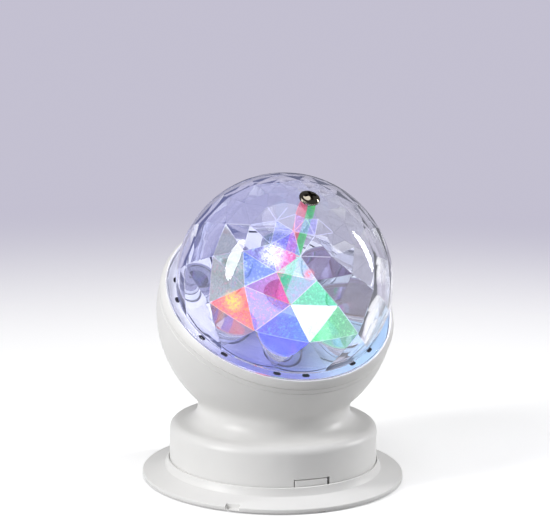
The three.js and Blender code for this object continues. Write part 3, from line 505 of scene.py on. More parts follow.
def housing(s):
    lip, edge, inner, ledge, drum = (s[name] for name in ("lip", "lipRound", "lipInner", "ledge", "drum"))
    crease, middle = lip - s["band"], lip - s["band"] / 2
    outer = s["bowl"] + s["proud"]
    ledgeLow = s["ledgeTop"] - s["ledgeDepth"]
    rim = []
    for down, wide, deep in reversed(s["grooves"]):
        high, low = crease - down, crease - down - wide
        rim += [(math.sqrt(s["bowl"] ** 2 - level ** 2) - inwards, level)
                for level, inwards in ((low, 0), (low + wide / 3, deep), (high - wide / 3, deep), (high, 0))]
    rim += [
        (math.sqrt(outer ** 2 - crease ** 2), crease),
        (math.sqrt(outer ** 2 - middle ** 2) - s["lean"], middle),
        *rounded(s["lipOuter"], lip, edge, 25, 90, 3),
    ]
    piece = turned("white_shell", shellOutline(s, 0, s["foot"]), s["steps"])
    at = rim.pop(0)
    levelled(piece, at[1])
    for radius, level in rim:
        bpy.ops.mesh.extrude_region_move(TRANSFORM_OT_translate={"value": (0, 0, (level - at[1]) * mm)})
        share = radius / at[0]
        bpy.ops.transform.resize(value=(share, share, 1), center_override=(0, 0, level * mm))
        at = (radius, level)
    tidyMesh()
    mouth = turned("mouth", [
        (0, ledgeLow - 1), (ledge, ledgeLow - 1), (ledge, s["ledgeTop"]), (inner, s["ledgeTop"]),
        (inner, lip - edge), (inner + 2 * edge, lip + edge), (0, lip + edge),
    ], s["steps"])
    hollow = levelled(turned("hollow", shellOutline(s, s["wall"], 0), s["steps"]), ledgeLow)
    tidyMesh()
    place(cutBy(piece, hollow, mouth), headFrame)
    half = s["tabWidth"] / 2
    tab = boxed("tab", (-half, -drum - 1, 0), (half, -drum + s["wall"] + 1, s["tabTop"]))
    wide, high, deep = s["recess"]
    level = s["switchLevel"]
    recess = boxed("recess", (-wide / 2, drum - deep, level - high / 2),
                   (wide / 2, drum + 1, level + high / 2))
    slotWide, slotHigh = s["slot"]
    slot = boxed("slot", (-slotWide / 2, drum - s["wall"] - 1, level - slotHigh / 2),
                 (slotWide / 2, drum + 1, level + slotHigh / 2))
    inside = drum - s["wall"] / 2
    thick = s["ribWide"] / 2
    ribs = [boxed("rib", (x - thick, s["ribBack"], s["ribLow"]), (x + thick, inside, s["ribHigh"]))
            for x in (-s["ribSide"], s["ribSide"])]
    bosses = rodsAt("boss", s["boss"], s["bossLow"], s["bossHigh"], s["bossDegs"], s["bossRing"])
    bores = rodsAt("bore", s["bossBore"], 0, s["switchLevel"], s["bossDegs"], s["bossRing"])
    pin = crossPin(s["pinBore"], s["pinReach"], s["pinInset"] - drum, s["pinLevel"])
    joinedTo(piece, gathered([*ribs, bosses]))
    cutBy(piece, bores, tab, pin, bevelled(recess, deep, 3), slot)
    return smoothed(piece, 28)


finished(housing(shell), shellWhite, "white_plastic", "housing")
print("housing made")


# Release tab: a curved tongue, flush with the drum
tabSizes = {
    "drum": 44.5, "thick": 2.0, "wide": 14.2, "low": 3.7, "high": 10.4, "shift": -0.3, "edge": 0.2,
    "pin": 0.5, "pinReach": 1.2, "pinLevel": 4.6,
}


def releaseTab(s):
    half = math.degrees(math.asin(s["wide"] / 2 / s["drum"]))
    inner = s["drum"] - s["thick"]
    outline = [(inner, s["low"]), (s["drum"], s["low"]), (s["drum"], s["high"]), (inner, s["high"])]
    piece = turned("drum_tab", outline, 16, 2 * half, 270 - half)
    bevelled(piece, s["edge"])
    joinedTo(piece, crossPin(s["pin"], s["wide"] / 2 + s["pinReach"], -inner, s["pinLevel"], 16))
    return smoothed(place(piece, shift(s["shift"], 0, 0)))


finished(releaseTab(tabSizes), shellWhite, "white_plastic", "release_tab", body="tab")
print("release tab made")


# Deck: the pale disc that the cups stand through, with slots round its edge
deck = {
    "top": 6.6, "thick": 1.6, "edge": 47.9, "bore": 5.4, "cups": 8, "cupRing": 28.0, "cupStart": -15.0,
    "cupHole": 10.0, "slotsFromCup": (-3.5, 12.0), "slotRing": 44.4, "slotLong": 3.2, "slotWide": 1.8,
    "slotFloor": 5.2, "groove": (39.2, 39.6), "grooveFloor": 6.0, "round": 0.25, "near": 0.1,
}


def deckPlate(s):
    top, under, floor = s["top"], s["top"] - s["thick"], s["slotFloor"]
    inner, outer = s["groove"]
    outline = [
        (s["bore"], under), (s["edge"], under), *rounded(s["edge"], top, s["round"], 0, 90, 3),
        (outer, top), (outer, s["grooveFloor"]), (inner, s["grooveFloor"]), (inner, top), (s["bore"], top),
    ]
    piece = turned("deck_disc", outline, 144)
    hole = rod("hole", s["cupHole"], under - 1, top + 1, steps=64)
    holes = around(place(hole, turnAt(s["cupStart"], s["cupRing"])), s["cups"])
    slotEnd, half = (s["slotLong"] - s["slotWide"]) / 2, s["slotWide"] / 2
    bar = boxed("slot", (-slotEnd, -half, floor), (slotEnd, half, top + 1))
    slot = joinedTo(bar, *[rod("end", half, floor, top + 1, (x, 0), 16) for x in (-slotEnd, slotEnd)])
    slots = [copied(slot, turnAt(s["cupStart"] + apart + i * 360 / s["cups"], s["slotRing"]))
             for i in range(s["cups"]) for apart in s["slotsFromCup"]]
    bpy.data.objects.remove(slot)
    cutBy(piece, gathered(holes), gathered(slots))
    return smoothed(place(piece, headFrame))


# White plastic with painted LED light in its base colour: a violet pool in front, a blue-green one on the
# right, plain elsewhere
deckGlow = {
    "plain": (0.7, 0.72, 0.74), "violet": (0.2, 0.22, 0.5), "bluish": (0.42, 0.62, 0.75),
    "violetAt": (-20, 46), "bluishAt": (45, 42), "reach": (12, 42), "cloud": (0.93, 0.93, 0.93),
}


def deckPaintedLedLight(s, d):
    material = moulded("deckPaintedLedLight", s["plain"], 0.38)
    color = (*s["plain"], 1)
    for tone, spot in (("violet", "violetAt"), ("bluish", "bluishAt")):
        deg, radius = s[spot]
        at = headFrame @ turnAt(deg, radius, d["top"]).translation
        color = mixed(material, spotShare(material, at, *s["reach"]), color, (*s[tone], 1))
    clouds = noise(material, plasticLook["cloud"], 3)
    cloud = ramped(material, clouds, [(0.35, s["cloud"]), (0.65, (1, 1, 1))])
    feed(material, Base_Color=mixed(material, 1.0, color, cloud, "MULTIPLY"))
    return material


# The slots and the groove stop short of the deck's underside; their floors and walls are painted black, a
# painted shade as if they opened on the dark inside
def slotsPaintedShade(piece, s):
    piece.data.materials.append(chipBlack)
    for face in piece.data.polygons:
        spot = headFrame.inverted() @ face.center / mm
        reach = math.hypot(spot.x, spot.y)
        within = spot.z > s["slotFloor"] - s["near"] and spot.z < s["top"] - s["near"]
        inSlot = abs(reach - s["slotRing"]) < s["slotWide"] / 2 + s["near"]
        inGroove = s["groove"][0] - s["near"] < reach < s["groove"][1] + s["near"]
        if within and (inSlot or inGroove):
            face.material_index = 1


deckPiece = finished(deckPlate(deck), deckPaintedLedLight(deckGlow, deck), "deck_plastic", "deck_plate")
slotsPaintedShade(deckPiece, deck)
print("deck made")


# LEDs, cups and lenses
optic = {
    "plateLow": 3.4, "plateHigh": 4.7, "plateIn": 17.8, "plateOut": 38.2, "sunk": 0.15,
    "cup": 9.7, "cupTop": 12.2, "throat": 3.4, "mouth": 8.1, "curve": 0.7, "curveSteps": 6,
    "lens": 8.9, "lensEdge": 1.8, "lensCrown": 1.8, "gap": 0.3, "round": 0.3,
    "led": 4.4, "ledLow": 3.4, "ledHigh": 5.0, "ledEdge": 0.3,
}


def reflectorCups(s, d):
    seat = s["cupTop"] - s["lensEdge"]
    lensBore = s["lens"] + s["gap"]
    steps = s["curveSteps"]
    outline = [
        (s["throat"], s["plateLow"]),
        (s["cup"], s["plateLow"]),
        *rounded(s["cup"], s["cupTop"], s["round"], 0, 90, 3),
        (lensBore, s["cupTop"]), (lensBore, seat), (s["mouth"], seat),
        *[(s["throat"] + (s["mouth"] - s["throat"]) * (i / steps) ** s["curve"],
           s["plateLow"] + (seat - s["plateLow"]) * i / steps) for i in range(steps - 1, 0, -1)],
    ]
    start = turnAt(d["cupStart"], d["cupRing"])
    cups = around(place(turned("cup", outline, 56), start), d["cups"])
    low = s["plateLow"] + s["sunk"]
    base = turned("cup_moulding", [(s["plateIn"], low), (s["plateOut"], low),
                                   (s["plateOut"], s["plateHigh"]), (s["plateIn"], s["plateHigh"])], 96)
    hole = rod("hole", s["cup"] - s["round"], s["plateLow"] - 1, s["plateHigh"] + 1, steps=56)
    cutBy(base, gathered(around(place(hole, start), d["cups"])))
    joinedTo(base, gathered(cups))
    return smoothed(place(base, headFrame))


def lenses(s, d):
    low = s["cupTop"] - s["lensEdge"] + s["gap"]
    edge = low + s["lensEdge"]
    ball = (s["lens"] ** 2 + s["lensCrown"] ** 2) / (2 * s["lensCrown"])
    half = math.degrees(math.asin(s["lens"] / ball))
    outline = [(0, low), (s["lens"], low), *arc((0, edge + s["lensCrown"] - ball), ball, 90 - half, 90, 10)]
    lens = place(turned("lens", outline, 64), turnAt(d["cupStart"], d["cupRing"]))
    return numbered([place(twin, headFrame) for twin in around(smoothed(lens, 40), d["cups"])], "lens")


def emitters(s, d):
    half = s["led"] / 2
    led = boxed("emitter", (-half, -half, s["ledLow"]), (half, half, s["ledHigh"]))
    smoothed(bevelled(led, s["ledEdge"]))
    made = []
    for i in range(d["cups"]):
        spot = turnAt(d["cupStart"] + i * 360 / d["cups"], d["cupRing"]).translation
        made.append(copied(led, headFrame @ Matrix.Translation(spot), f"emitter_{i + 1}"))
    bpy.data.objects.remove(led)
    return made


# Each LED's colour, and how brightly its lens glows with it
ledLight = {
    "blue": ((0.08, 0.1, 0.9), 0.6), "green": ((0.08, 0.8, 0.35), 0.15), "amber": ((1.0, 0.45, 0.06), 0.02),
    "magenta": ((1.0, 0.1, 0.7), 0.02), "cyan": ((0.1, 0.8, 1.0), 0.02), "violet": ((0.4, 0.12, 1.0), 0.02),
    "white": ((0.95, 0.95, 1.0), 0.02), "red": ((0.8, 0.16, 0.14), 0.08),
}
lensLook = {
    "plain": (0.85, 0.87, 0.92), "tintMost": 0.7, "shadow": (0.9, 0.92, 1.0), "dim": 0.6, "grain": 260,
}


def glowing(name, color, strength):
    return moulded(name, color, 0.3, Emission_Strength=strength, Emission_Color=(*color, 1))


def lensLit(name, color, level):
    look = lensLook
    tinted = blend(look["plain"], color, min(level, look["tintMost"]))
    material = clear(name, tinted, 0.03, 1.49, look["shadow"])
    dim = tuple(part * look["dim"] for part in color)
    glow = ramped(material, noise(material, look["grain"], 4), [(0.35, dim), (0.65, color)])
    feed(material, Emission_Color=glow, Emission_Strength=level)
    return material


finished(reflectorCups(optic, deck), cupSilver, "silver_coat", "reflector_cups")
lit = zip(lenses(optic, deck), emitters(optic, deck), ledLight.items())
for i, (lens, led, (name, (color, level))) in enumerate(lit):
    finished(lens, lensLit(f"lens_{name}", color, level), "lens_plastic", f"led_lens_{i + 1}")
    finished(led, glowing(f"glow_{name}", color, 0.5 + 3 * level), f"led_{name}", f"led_{i + 1}")
print("cups, lenses and emitters made")


# Dome: smooth ball outside, flat triangles inside
ball = {
    "centre": 17.1, "radius": 45.4, "flangeLow": 7.2, "flangeHigh": 8.3, "flange": 47.6, "flangeRound": 0.3,
    "crown": 5.2, "hole": 1.8, "facets": 42.6, "count": 12, "rings": [12, 22, 34.2, 45.8, 59.9, 80, 100, 106],
    "start": -21.2, "seam": 0.16,
}


def onBall(s, polarDeg, angleDeg, radius):
    polar, angle = math.radians(polarDeg), math.radians(angleDeg)
    side = Vector((math.sin(polar) * math.sin(angle), -math.sin(polar) * math.cos(angle), math.cos(polar)))
    return (side * radius + Vector((0, 0, s["centre"]))) * mm


# Rings of points on a sphere, every second ring turned by half a step, and their hull
def facetHull(s):
    rings = []
    for i, polarDeg in enumerate(s["rings"]):
        polar = math.radians(polarDeg)
        row = min(i, len(s["rings"]) - 2)
        letGo()
        bpy.ops.mesh.primitive_circle_add(vertices=s["count"], radius=s["facets"] * math.sin(polar) * mm)
        ring = bpy.context.object
        rise = shift(0, 0, s["centre"] + s["facets"] * math.cos(polar))
        # a new circle's first vertex lies on +Y, so half a turn brings it to the front
        turn = Matrix.Rotation(math.pi + math.radians(s["start"] + (row % 2) * 180 / s["count"]), 4, "Z")
        rings.append(place(ring, rise @ turn))
    hull = named(gathered(rings), "facets")
    edit(hull)
    bpy.ops.mesh.select_all(action="SELECT")
    bpy.ops.mesh.convex_hull(join_triangles=False)
    tidyMesh()
    bpy.ops.object.mode_set(mode="OBJECT")
    return bevelled(hull, s["seam"], 1, 3)


def dome(s):
    foot = math.degrees(math.asin((s["flangeHigh"] - s["centre"]) / s["radius"]))
    crownDeg = math.degrees(math.acos(s["crown"] / s["radius"]))
    crownLevel = s["centre"] + math.sqrt(s["radius"] ** 2 - s["crown"] ** 2)
    outline = [
        (0, s["flangeLow"]),
        *rounded(s["flange"], s["flangeLow"], s["flangeRound"], 270, 360, 3),
        *rounded(s["flange"], s["flangeHigh"], s["flangeRound"], 0, 90, 3),
        *arc((0, s["centre"]), s["radius"], foot, crownDeg, 64),
        (0, crownLevel),
    ]
    piece = turned("clear_dome", outline, 160)
    hole = rod("hole", s["hole"], s["centre"] + s["facets"] - 2, crownLevel + 1, steps=24)
    return cutBy(piece, facetHull(s), hole)


# The LED light painted as emission on the lit facets: the middle's polar angle and its angle from the front,
# the main colour, the fleck colour, and a second colour with the side that it lies on, counted from the top
# to the right
facetLight = {
    "white": (66.6, -6.2, (1.1, 1.1, 1.1), (1.0, 1.1, 1.1), (0.9, 1.1, 1.05), 180),
    "leaf": (55, -6.2, (0.05, 0.6, 0.28), (0.19, 0.83, 0.51), (0.07, 0.42, 0.2), 240),
    "teal": (50.4, -21.2, (0.25, 0.28, 0.52), (0.48, 0.3, 0.52), (0.045, 0.5, 0.3), 300),
    "magenta": (55, -36.2, (0.11, 0.04, 0.36), (0.5, 0.12, 0.6), (0.9, 0.14, 0.5), 110),
    "violet": (66.6, -36.2, (0.3, 0.22, 0.85), (0.75, 0.22, 0.68), (0.2, 0.2, 0.82), 150),
    "sky": (73.3, -21.2, (0.1, 0.24, 0.83), (0.2, 0.42, 0.9), (0.21, 0.15, 0.8), 260),
    "blush": (73.3, -51.2, (0.95, 0.16, 0.17), (0.98, 0.42, 0.1), (0.95, 0.2, 0.26), 200),
    "ice": (42, -21.2, (0.24, 0.35, 0.74), (0.7, 0.75, 0.9), (0.6, 0.92, 0.86), 270),
    "spark": (38, -36.2, (0.26, 0.24, 0.8), (0.6, 0.68, 0.95), (0.9, 0.16, 0.5), 70),
    "frost": (42, -51.2, (0.12, 0.14, 0.72), (0.45, 0.62, 0.98), (0.3, 0.28, 0.7), 300),
    "azure": (50.4, -51.2, (0.1, 0.2, 0.82), (0.5, 0.7, 1.0), (0.2, 0.3, 0.78), 200),
    "plum": (29.5, -36.2, (0.12, 0.1, 0.72), (0.55, 0.6, 0.98), (0.3, 0.25, 0.8), 90),
    "mist": (25.6, -51.2, (0.16, 0.22, 0.52), (0.34, 0.36, 0.8), (0.2, 0.18, 0.7), 110),
    "cloud": (18.2, -21.2, (0.22, 0.22, 0.6), (0.4, 0.4, 0.85), (0.24, 0.24, 0.55), 90),
    "mint": (73.3, 8.8, (0.06, 0.58, 0.2), (0.3, 0.7, 0.42), (0.22, 0.27, 0.27), 90),
    "dawn": (66.6, -66.2, (0.34, 0.37, 0.37), (0.5, 0.32, 0.36), (0.3, 0.38, 0.38), 60),
    "lilac": (55, -66.2, (0.3, 0.38, 0.38), (0.5, 0.36, 0.42), (0.26, 0.36, 0.36), 60),
    "glowHaze": (50.4, -81.2, (0.3, 0.33, 0.35), (0.38, 0.38, 0.4), (0.3, 0.33, 0.35), 0),
}
# A face is lit within "same" degrees of a row above, and a seam if it is long and thin or very small.
# Seams next to lit faces get painted light lines and all seams a darker tint; the other inner faces get a
# faint painted glow, which goes with its tint from left to right
facetLook = {
    "same": 6, "seamShare": 70, "seamSpot": 1.0, "flat": 0.02, "sideReach": 6.0,
    "outerTint": (0.97, 0.97, 1.0), "litTint": (0.16, 0.16, 0.18), "litShow": 0.35,
    "seamLight": (0.8, 0.8, 0.9), "seamMix": 0.4, "seamShow": 0.6, "seamDark": 0.85,
    "glowHaze": ((0.045, 0.05, 0.12), (0.06, 0.062, 0.07)), "glowHazeTint": ((0.66, 0.67, 0.8), (0.68, 0.69, 0.7)),
    "glowHazeFleck": (0.3, 0.3, 0.4), "glowHazeMix": 0.12,
}
# The first three are noises, and the painted white glow and the painted coloured light spots lie at a polar
# angle and an angle from the front
domeLook = {
    "fleck": (850, 7, 0.75), "grain": (1500, 3, 0.6), "spark": (900, 6, 0.75),
    "fleckStretch": (1, 0.6, 1), "fleckStep": (0.5, 0.64), "sparkStep": (0.42, 0.55, 0.25, 1.0),
    "grainStops": [(0.3, (0.7, 0.7, 0.7)), (0.7, (1.15, 1.15, 1.15))],
    "glow": (38.5, -45.0, 1.6, 6.6), "glowLight": (1.2, 1.25, 1.35), "spotsAt": 0.97, "inner": (42.9, 43.2),
    "lightSpots": ((71, -54, 1.5, 5.5, (0.98, 0.75, 0.08)), (43, -12, 0.8, 3.0, (0.9, 0.12, 0.08))),
}


def facetAt(s, out):
    polar = math.degrees(out.angle(Vector((0, 0, 1))))
    angle = math.degrees(math.atan2(out.x, -out.y))
    apart = {name: math.hypot(polar - row[0], (angle - row[1]) * math.sin(math.radians(polar)))
             for name, row in facetLight.items()}
    nearest = min(apart, key=apart.get)
    side = 0.5 + 0.5 * math.sin(math.radians(angle - s["start"]))
    glowHaze, behind = (blend(*facetLook[tone], side) for tone in ("glowHaze", "glowHazeTint"))
    return apart[nearest], facetLight[nearest], glowHaze, behind


# How far a point lies towards one side of a lit facet's middle, from 0 to 1
def sideShare(s, row, point):
    middle = onBall(s, row[0], row[1], s["facets"])
    up = (onBall(s, row[0] - 1, row[1], s["facets"]) - middle).normalized()
    right = (onBall(s, row[0], row[1] + 1, s["facets"]) - middle).normalized()
    side = up * math.cos(math.radians(row[5])) + right * math.sin(math.radians(row[5]))
    return min(max(0.5 + (point - middle).dot(side) / (2 * facetLook["sideReach"] * mm), 0), 1)


# Writes on each flat inner face the LED light painted on it, and how much of what lies behind it comes
# through
def facetColors(piece, s):
    look = facetLook
    names = ("facetLightMain", "facetLightFleck", "facetTint")
    for name in names:
        piece.data.color_attributes.new(name, "FLOAT_COLOR", "CORNER")
    layers = [piece.data.color_attributes[name].data for name in names]
    points = [vertex.co.copy() for vertex in piece.data.vertices]
    centre = Vector((0, 0, s["centre"])) * mm
    for face in piece.data.polygons:
        out = (face.center - centre) / mm
        inside = out.length < s["facets"] + look["flat"] and face.normal.dot(out) < 0
        inside = inside and out.z > s["flangeLow"] - s["centre"]
        apart, row, glowHaze, behind = facetAt(s, out)
        rim = sum((points[a] - points[b]).length for a, b in face.edge_keys)
        seam = rim ** 2 > look["seamShare"] * face.area or face.area < look["seamSpot"] * mm * mm
        lit = inside and not seam and apart < look["same"]
        main, fleck, tint = (0, 0, 0), (0, 0, 0), look["outerTint"]
        if lit:
            fleck, tint = row[3], blend(look["litTint"], row[2], look["litShow"])
        elif inside and seam:
            share = look["seamShow"] if apart < 2 * look["same"] else 0
            main = fleck = blend(glowHaze, blend(row[3], look["seamLight"], look["seamMix"]), share)
            tint = tuple(part * look["seamDark"] for part in behind)
        elif inside:
            main, fleck, tint = glowHaze, blend(glowHaze, look["glowHazeFleck"], look["glowHazeMix"]), behind
        for corner, vertex in zip(face.loop_indices, face.vertices):
            if lit:
                main = blend(row[2], row[4], sideShare(s, row, points[vertex]))
            for layer, color in zip(layers, (main, fleck, tint)):
                layer[corner].color = (*color, 1)


# The dome glows only on its inner faces, with painted LED light: each face's colours and flecks, two coloured
# light spots and a white hot glow
def domeClear(s):
    look = domeLook
    material = clear("domeClear", (0.95, 0.95, 1.0), 0.0, 1.42, (0.93, 0.93, 0.98))
    main = ownColor(material, "facetLightMain")
    flecks = stepped(material, noise(material, *look["fleck"], look["fleckStretch"]), *look["fleckStep"])
    color = mixed(material, flecks, main, ownColor(material, "facetLightFleck"))
    grain = ramped(material, noise(material, *look["grain"]), look["grainStops"])
    color = mixed(material, 1.0, color, grain, "MULTIPLY")
    sparks = stepped(material, noise(material, *look["spark"]), *look["sparkStep"])
    reach = s["facets"] * look["spotsAt"]
    for polarDeg, angleDeg, inner, outer, tone in look["lightSpots"]:
        spot = spotShare(material, headFrame @ onBall(s, polarDeg, angleDeg, reach), inner, outer)
        color = mixed(material, counted(material, "MULTIPLY", spot, sparks), color, (*tone, 1))
    polarDeg, angleDeg, inner, outer = look["glow"]
    near = spotShare(material, headFrame @ onBall(s, polarDeg, angleDeg, reach), inner, outer)
    lit = mixed(material, 1.0, main, (*look["glowLight"], 1), "ADD")
    onFacet = mixed(material, counted(material, "MULTIPLY", near, sparks), color, lit)
    inside = spotShare(material, headFrame @ onBall(s, 0, 0, 0), *look["inner"])
    feed(material, Base_Color=ownColor(material, "facetTint"), Emission_Strength=1.0,
         Emission_Color=mixed(material, inside, (0, 0, 0, 1), onFacet))
    return material


clearDome = dome(ball)
facetColors(clearDome, ball)
smoothed(place(clearDome, headFrame), 7)
finished(clearDome, domeClear(ball), "clear_plastic", "dome", body="rotor")
print("dome made,", len(clearDome.data.polygons), "faces")


# Dome screw, spindle and bush
screw = {
    **spanOf("dome_screw", headFrame), "shank": 1.5, "edge": 0.9, "height": 2.2, "round": 0.35,
    "cross": (1.2, 5.2, 1.3), "slope": (0.88, 0.12), "crownBall": 7.4, "crownDeg": 27,
}
post = {
    **spanOf("spindle", headFrame), "step": -0.8, "journal": 2.0, "radius": 3.2, "bore": 1.8, "boreLow": 48.8,
    "front": -21.2, "sideDeg": 115, "leftLight": (0.72, 0.05, 0.05), "rightLight": (0.0, 0.55, 0.06),
    "backLight": (0.05, 0.05, 0.15), "grain": [(0.35, (0.6, 0.6, 0.6)), (0.65, (1.1, 1.1, 1.1))],
}


def crossTool(wide, long, low, high):
    arm = boxed("arm", (-wide / 2, -long / 2, low), (wide / 2, long / 2, high))
    return joinedTo(arm, copied(arm, turnAt(90)))


def domeScrew(s):
    top = s["high"]
    seat = top - s["height"]
    edge = seat + s["edge"]
    outline = [
        (0, s["low"]), (s["shank"], s["low"]), (s["shank"], seat), (s["reach"], seat),
        *rounded(s["reach"], edge, s["round"], 0, 80, 4),
        (s["reach"] * s["slope"][0], edge + s["slope"][1]),
        *arc((0, top - s["crownBall"]), s["crownBall"], 90 - s["crownDeg"], 90, 10),
    ]
    piece = turned("plated_screw", outline, 64)
    wide, long, deep = s["cross"]
    cutBy(piece, crossTool(wide, long, top - deep, top + 1))
    return smoothed(place(piece, headFrame), 40)


def spindle(s):
    outline = [
        (0, s["low"]), (s["journal"], s["low"]), (s["journal"], s["step"]), (s["radius"], s["step"]),
        (s["radius"], s["high"]), (s["bore"], s["high"]), (s["bore"], s["boreLow"]), (0, s["boreLow"]),
    ]
    return smoothed(place(turned("turning_post", outline, 48), headFrame))


# The post catches red from its left and green from its right
def postLit(s):
    material = moulded("postLit", (0.1, 0.1, 0.12), 0.35, Emission_Strength=1.0)
    grain = ramped(material, noise(material, 700, 4, 0.6), s["grain"])
    feed(material, Emission_Color=mixed(material, 1.0, ownColor(material, "postSide"), grain, "MULTIPLY"))
    return material


def postColors(piece, s):
    layer = piece.data.color_attributes.new("postSide", "FLOAT_COLOR", "CORNER")
    for face in piece.data.polygons:
        spot = headFrame.inverted() @ face.center
        angle = math.degrees(math.atan2(spot.x, -spot.y)) - s["front"]
        side = (angle + 180) % 360 - 180
        color = s["leftLight"] if side < 0 else s["rightLight"]
        if not -s["sideDeg"] < side < s["sideDeg"]:
            color = s["backLight"]
        for corner in face.loop_indices:
            layer.data[corner].color = (*color, 1)
    return piece


finished(domeScrew(screw), screwDark, "chrome_steel", "dome_screw", body="rotor")
finished(postColors(spindle(post), post), postLit(post), "white_plastic", "spindle", body="rotor")
print("dome screw and spindle made")


# Bush that carries the post in the deck
bush = {"inner": 3.5, "outer": 5.1, "flange": 6.3, "low": 5.0, "seat": 6.9, "top": 7.8, "round": 0.3}


def spindleBush(s):
    outline = [
        (s["inner"], s["low"]), (s["outer"], s["low"]), (s["outer"], s["seat"]), (s["flange"], s["seat"]),
        *rounded(s["flange"], s["top"], s["round"], 0, 90, 3),
        *rounded(s["inner"], s["top"], s["round"], 90, 180, 3),
    ]
    return smoothed(place(turned("bronze_bush", outline, 48), headFrame))


finished(spindleBush(bush), bushBronze, "bush_bronze", "spindle_bush")
print("bush made")


# Underside: cover with the battery bay, its door and four screws
under = {
    "radius": 42.0, "low": 3.1, "thick": 2.0, "edge": 0.4, "bay": (57.5, 44.8), "wall": 1.5, "roof": 19.7,
    "window": (15.8, 3.4), "hole": 1.8, "ring": 37.5, "holeDegs": (30, 150, 210, 330), "sink": (3.1, 0.35),
    "post": 2.6, "postHigh": 23.1, "pin": 1.0, "pinHigh": 26.2,
    "postRing": 20.0, "postDegs": (-53, 53, 127, 233),
    "doorEdge": 0.35, "grip": (12.0, 3.0, 0.9), "gripFront": 2.2, "gripEdge": 0.3,
    "ribs": 4, "rib": 0.5, "ribShort": 1.0, "ribProud": 0.3,
    "head": 2.7, "headHigh": 1.7, "shank": 1.5, "reach": 9.0, "cross": (0.9, 3.8, 1.0),
}


def bottomCover(s):
    top = s["low"] + s["thick"]
    long, wide = s["bay"][0] / 2, s["bay"][1] / 2
    outline = [(0, s["low"]), *rounded(s["radius"], s["low"], s["edge"], 270, 360, 3),
               (s["radius"], top), (0, top)]
    piece = turned("cover_disc", outline, 128)
    roof = s["roof"] + s["wall"]
    outLong, outWide = long + s["wall"], wide + s["wall"]
    box = boxed("box", (-outLong, -outWide, top - 1), (outLong, outWide, roof))
    joinedTo(piece, bevelled(box, s["edge"]))
    for radius, high in ((s["post"], s["postHigh"]), (s["pin"], s["pinHigh"])):
        joinedTo(piece, rodsAt("stand", radius, roof - 1, high, s["postDegs"], s["postRing"], 24))
    inwards, deep = s["window"][0] / 2, s["radius"] + 1
    bay = boxed("bay", (-long, -wide, -1), (long, wide, s["roof"]))
    window = boxed("window", (-inwards, -deep, -1), (inwards, s["window"][1] - s["radius"], top + 1))
    holes = rodsAt("hole", s["hole"], -1, top + 1, s["holeDegs"], s["ring"], 24)
    sinks = rodsAt("sink", s["sink"][0], -1, s["low"] + s["sink"][1], s["holeDegs"], s["ring"])
    cutBy(piece, bay, window, holes, sinks)
    return smoothed(piece, 28)


def batteryDoor(s):
    low, high = boxOf("battery_door")
    piece = bevelled(boxed("bay_door", low, high), s["doorEdge"], 3)
    wide, deep, tall = s["grip"]
    half, front = wide / 2, low.y + deep / 2 + s["gripFront"]
    grip = boxed("grip", (-half, front - deep / 2, low.z - 2), (half, front + deep / 2, low.z + tall))
    cutBy(piece, bevelled(grip, s["gripEdge"]))
    half -= s["ribShort"]
    ribs = []
    for i in range(s["ribs"]):
        y = front - deep / 2 + deep / s["ribs"] * (i + 0.5)
        ribs.append(boxed("rib", (-half, y - s["rib"] / 2, low.z + tall / 2),
                          (half, y + s["rib"] / 2, low.z + tall + s["ribProud"])))
    joinedTo(piece, gathered(ribs))
    return smoothed(piece)


def coverScrews(s):
    edge = s["headHigh"] / 2
    ball = (s["head"] ** 2 + edge ** 2) / (2 * edge)
    half = math.degrees(math.asin(s["head"] / ball))
    outline = [(r, -h) for r, h in arc((0, s["headHigh"] - ball), ball, 90, 90 - half, 8)]
    outline += [(s["head"], 0), (s["shank"], 0), (s["shank"], s["reach"]), (0, s["reach"])]
    first = turned("cover_screw", outline, 40)
    wide, long, deep = s["cross"]
    smoothed(cutBy(first, crossTool(wide, long, -s["headHigh"] - 1, deep - s["headHigh"])), 40)
    made = []
    for i in range(len(s["holeDegs"])):
        low, high = boxOf(f"cover_screw_{i + 1}")
        seat = shift((low.x + high.x) / 2, (low.y + high.y) / 2, low.z + s["headHigh"])
        made.append(copied(first, seat, f"bright_screw_{i + 1}"))
    bpy.data.objects.remove(first)
    return made


finished(bottomCover(under), shellWhite, "white_plastic", "bottom_cover")
finished(batteryDoor(under), shellWhite, "white_plastic", "battery_door", body="door")
for i, made in enumerate(coverScrews(under)):
    finished(made, screwChrome, "chrome_steel", f"cover_screw_{i + 1}")
print("cover, door and screws made")


# Power switch in the back of the drum
switch = {"edge": 0.3, "grooves": 3, "pitch": 1.1, "wide": 0.5, "deep": 0.4, "lug": (0.4, 1.2)}


def grooved(piece, low, high, x, wide, deep):
    half = wide / 2
    cutBy(piece, boxed("groove", (x - half, high.y - deep, low.z - 1), (x + half, high.y + 1, high.z + 1)))


def switchKnob(s):
    low, high = boxOf("switch_knob")
    piece = bevelled(boxed("slide_knob", low, high), s["edge"])
    middle = (low.x + high.x) / 2
    for i in range(s["grooves"]):
        x = middle + (i - (s["grooves"] - 1) / 2) * s["pitch"]
        grooved(piece, low, high, x, s["wide"], s["deep"])
    return smoothed(piece)


def switchBody(s):
    low, high = boxOf("switch_body")
    piece = bevelled(boxed("switch_case", low, high), s["edge"])
    deep, wide = s["lug"]
    for side in (low.x + wide, high.x - wide):
        grooved(piece, low, high, side, deep, deep)
    return smoothed(piece)


finished(switchKnob(switch), chipBlack, "chip_black", "switch_knob", body="knob")
finished(switchBody(switch), springNickel, "chrome_steel", "switch_body")
print("switch made")


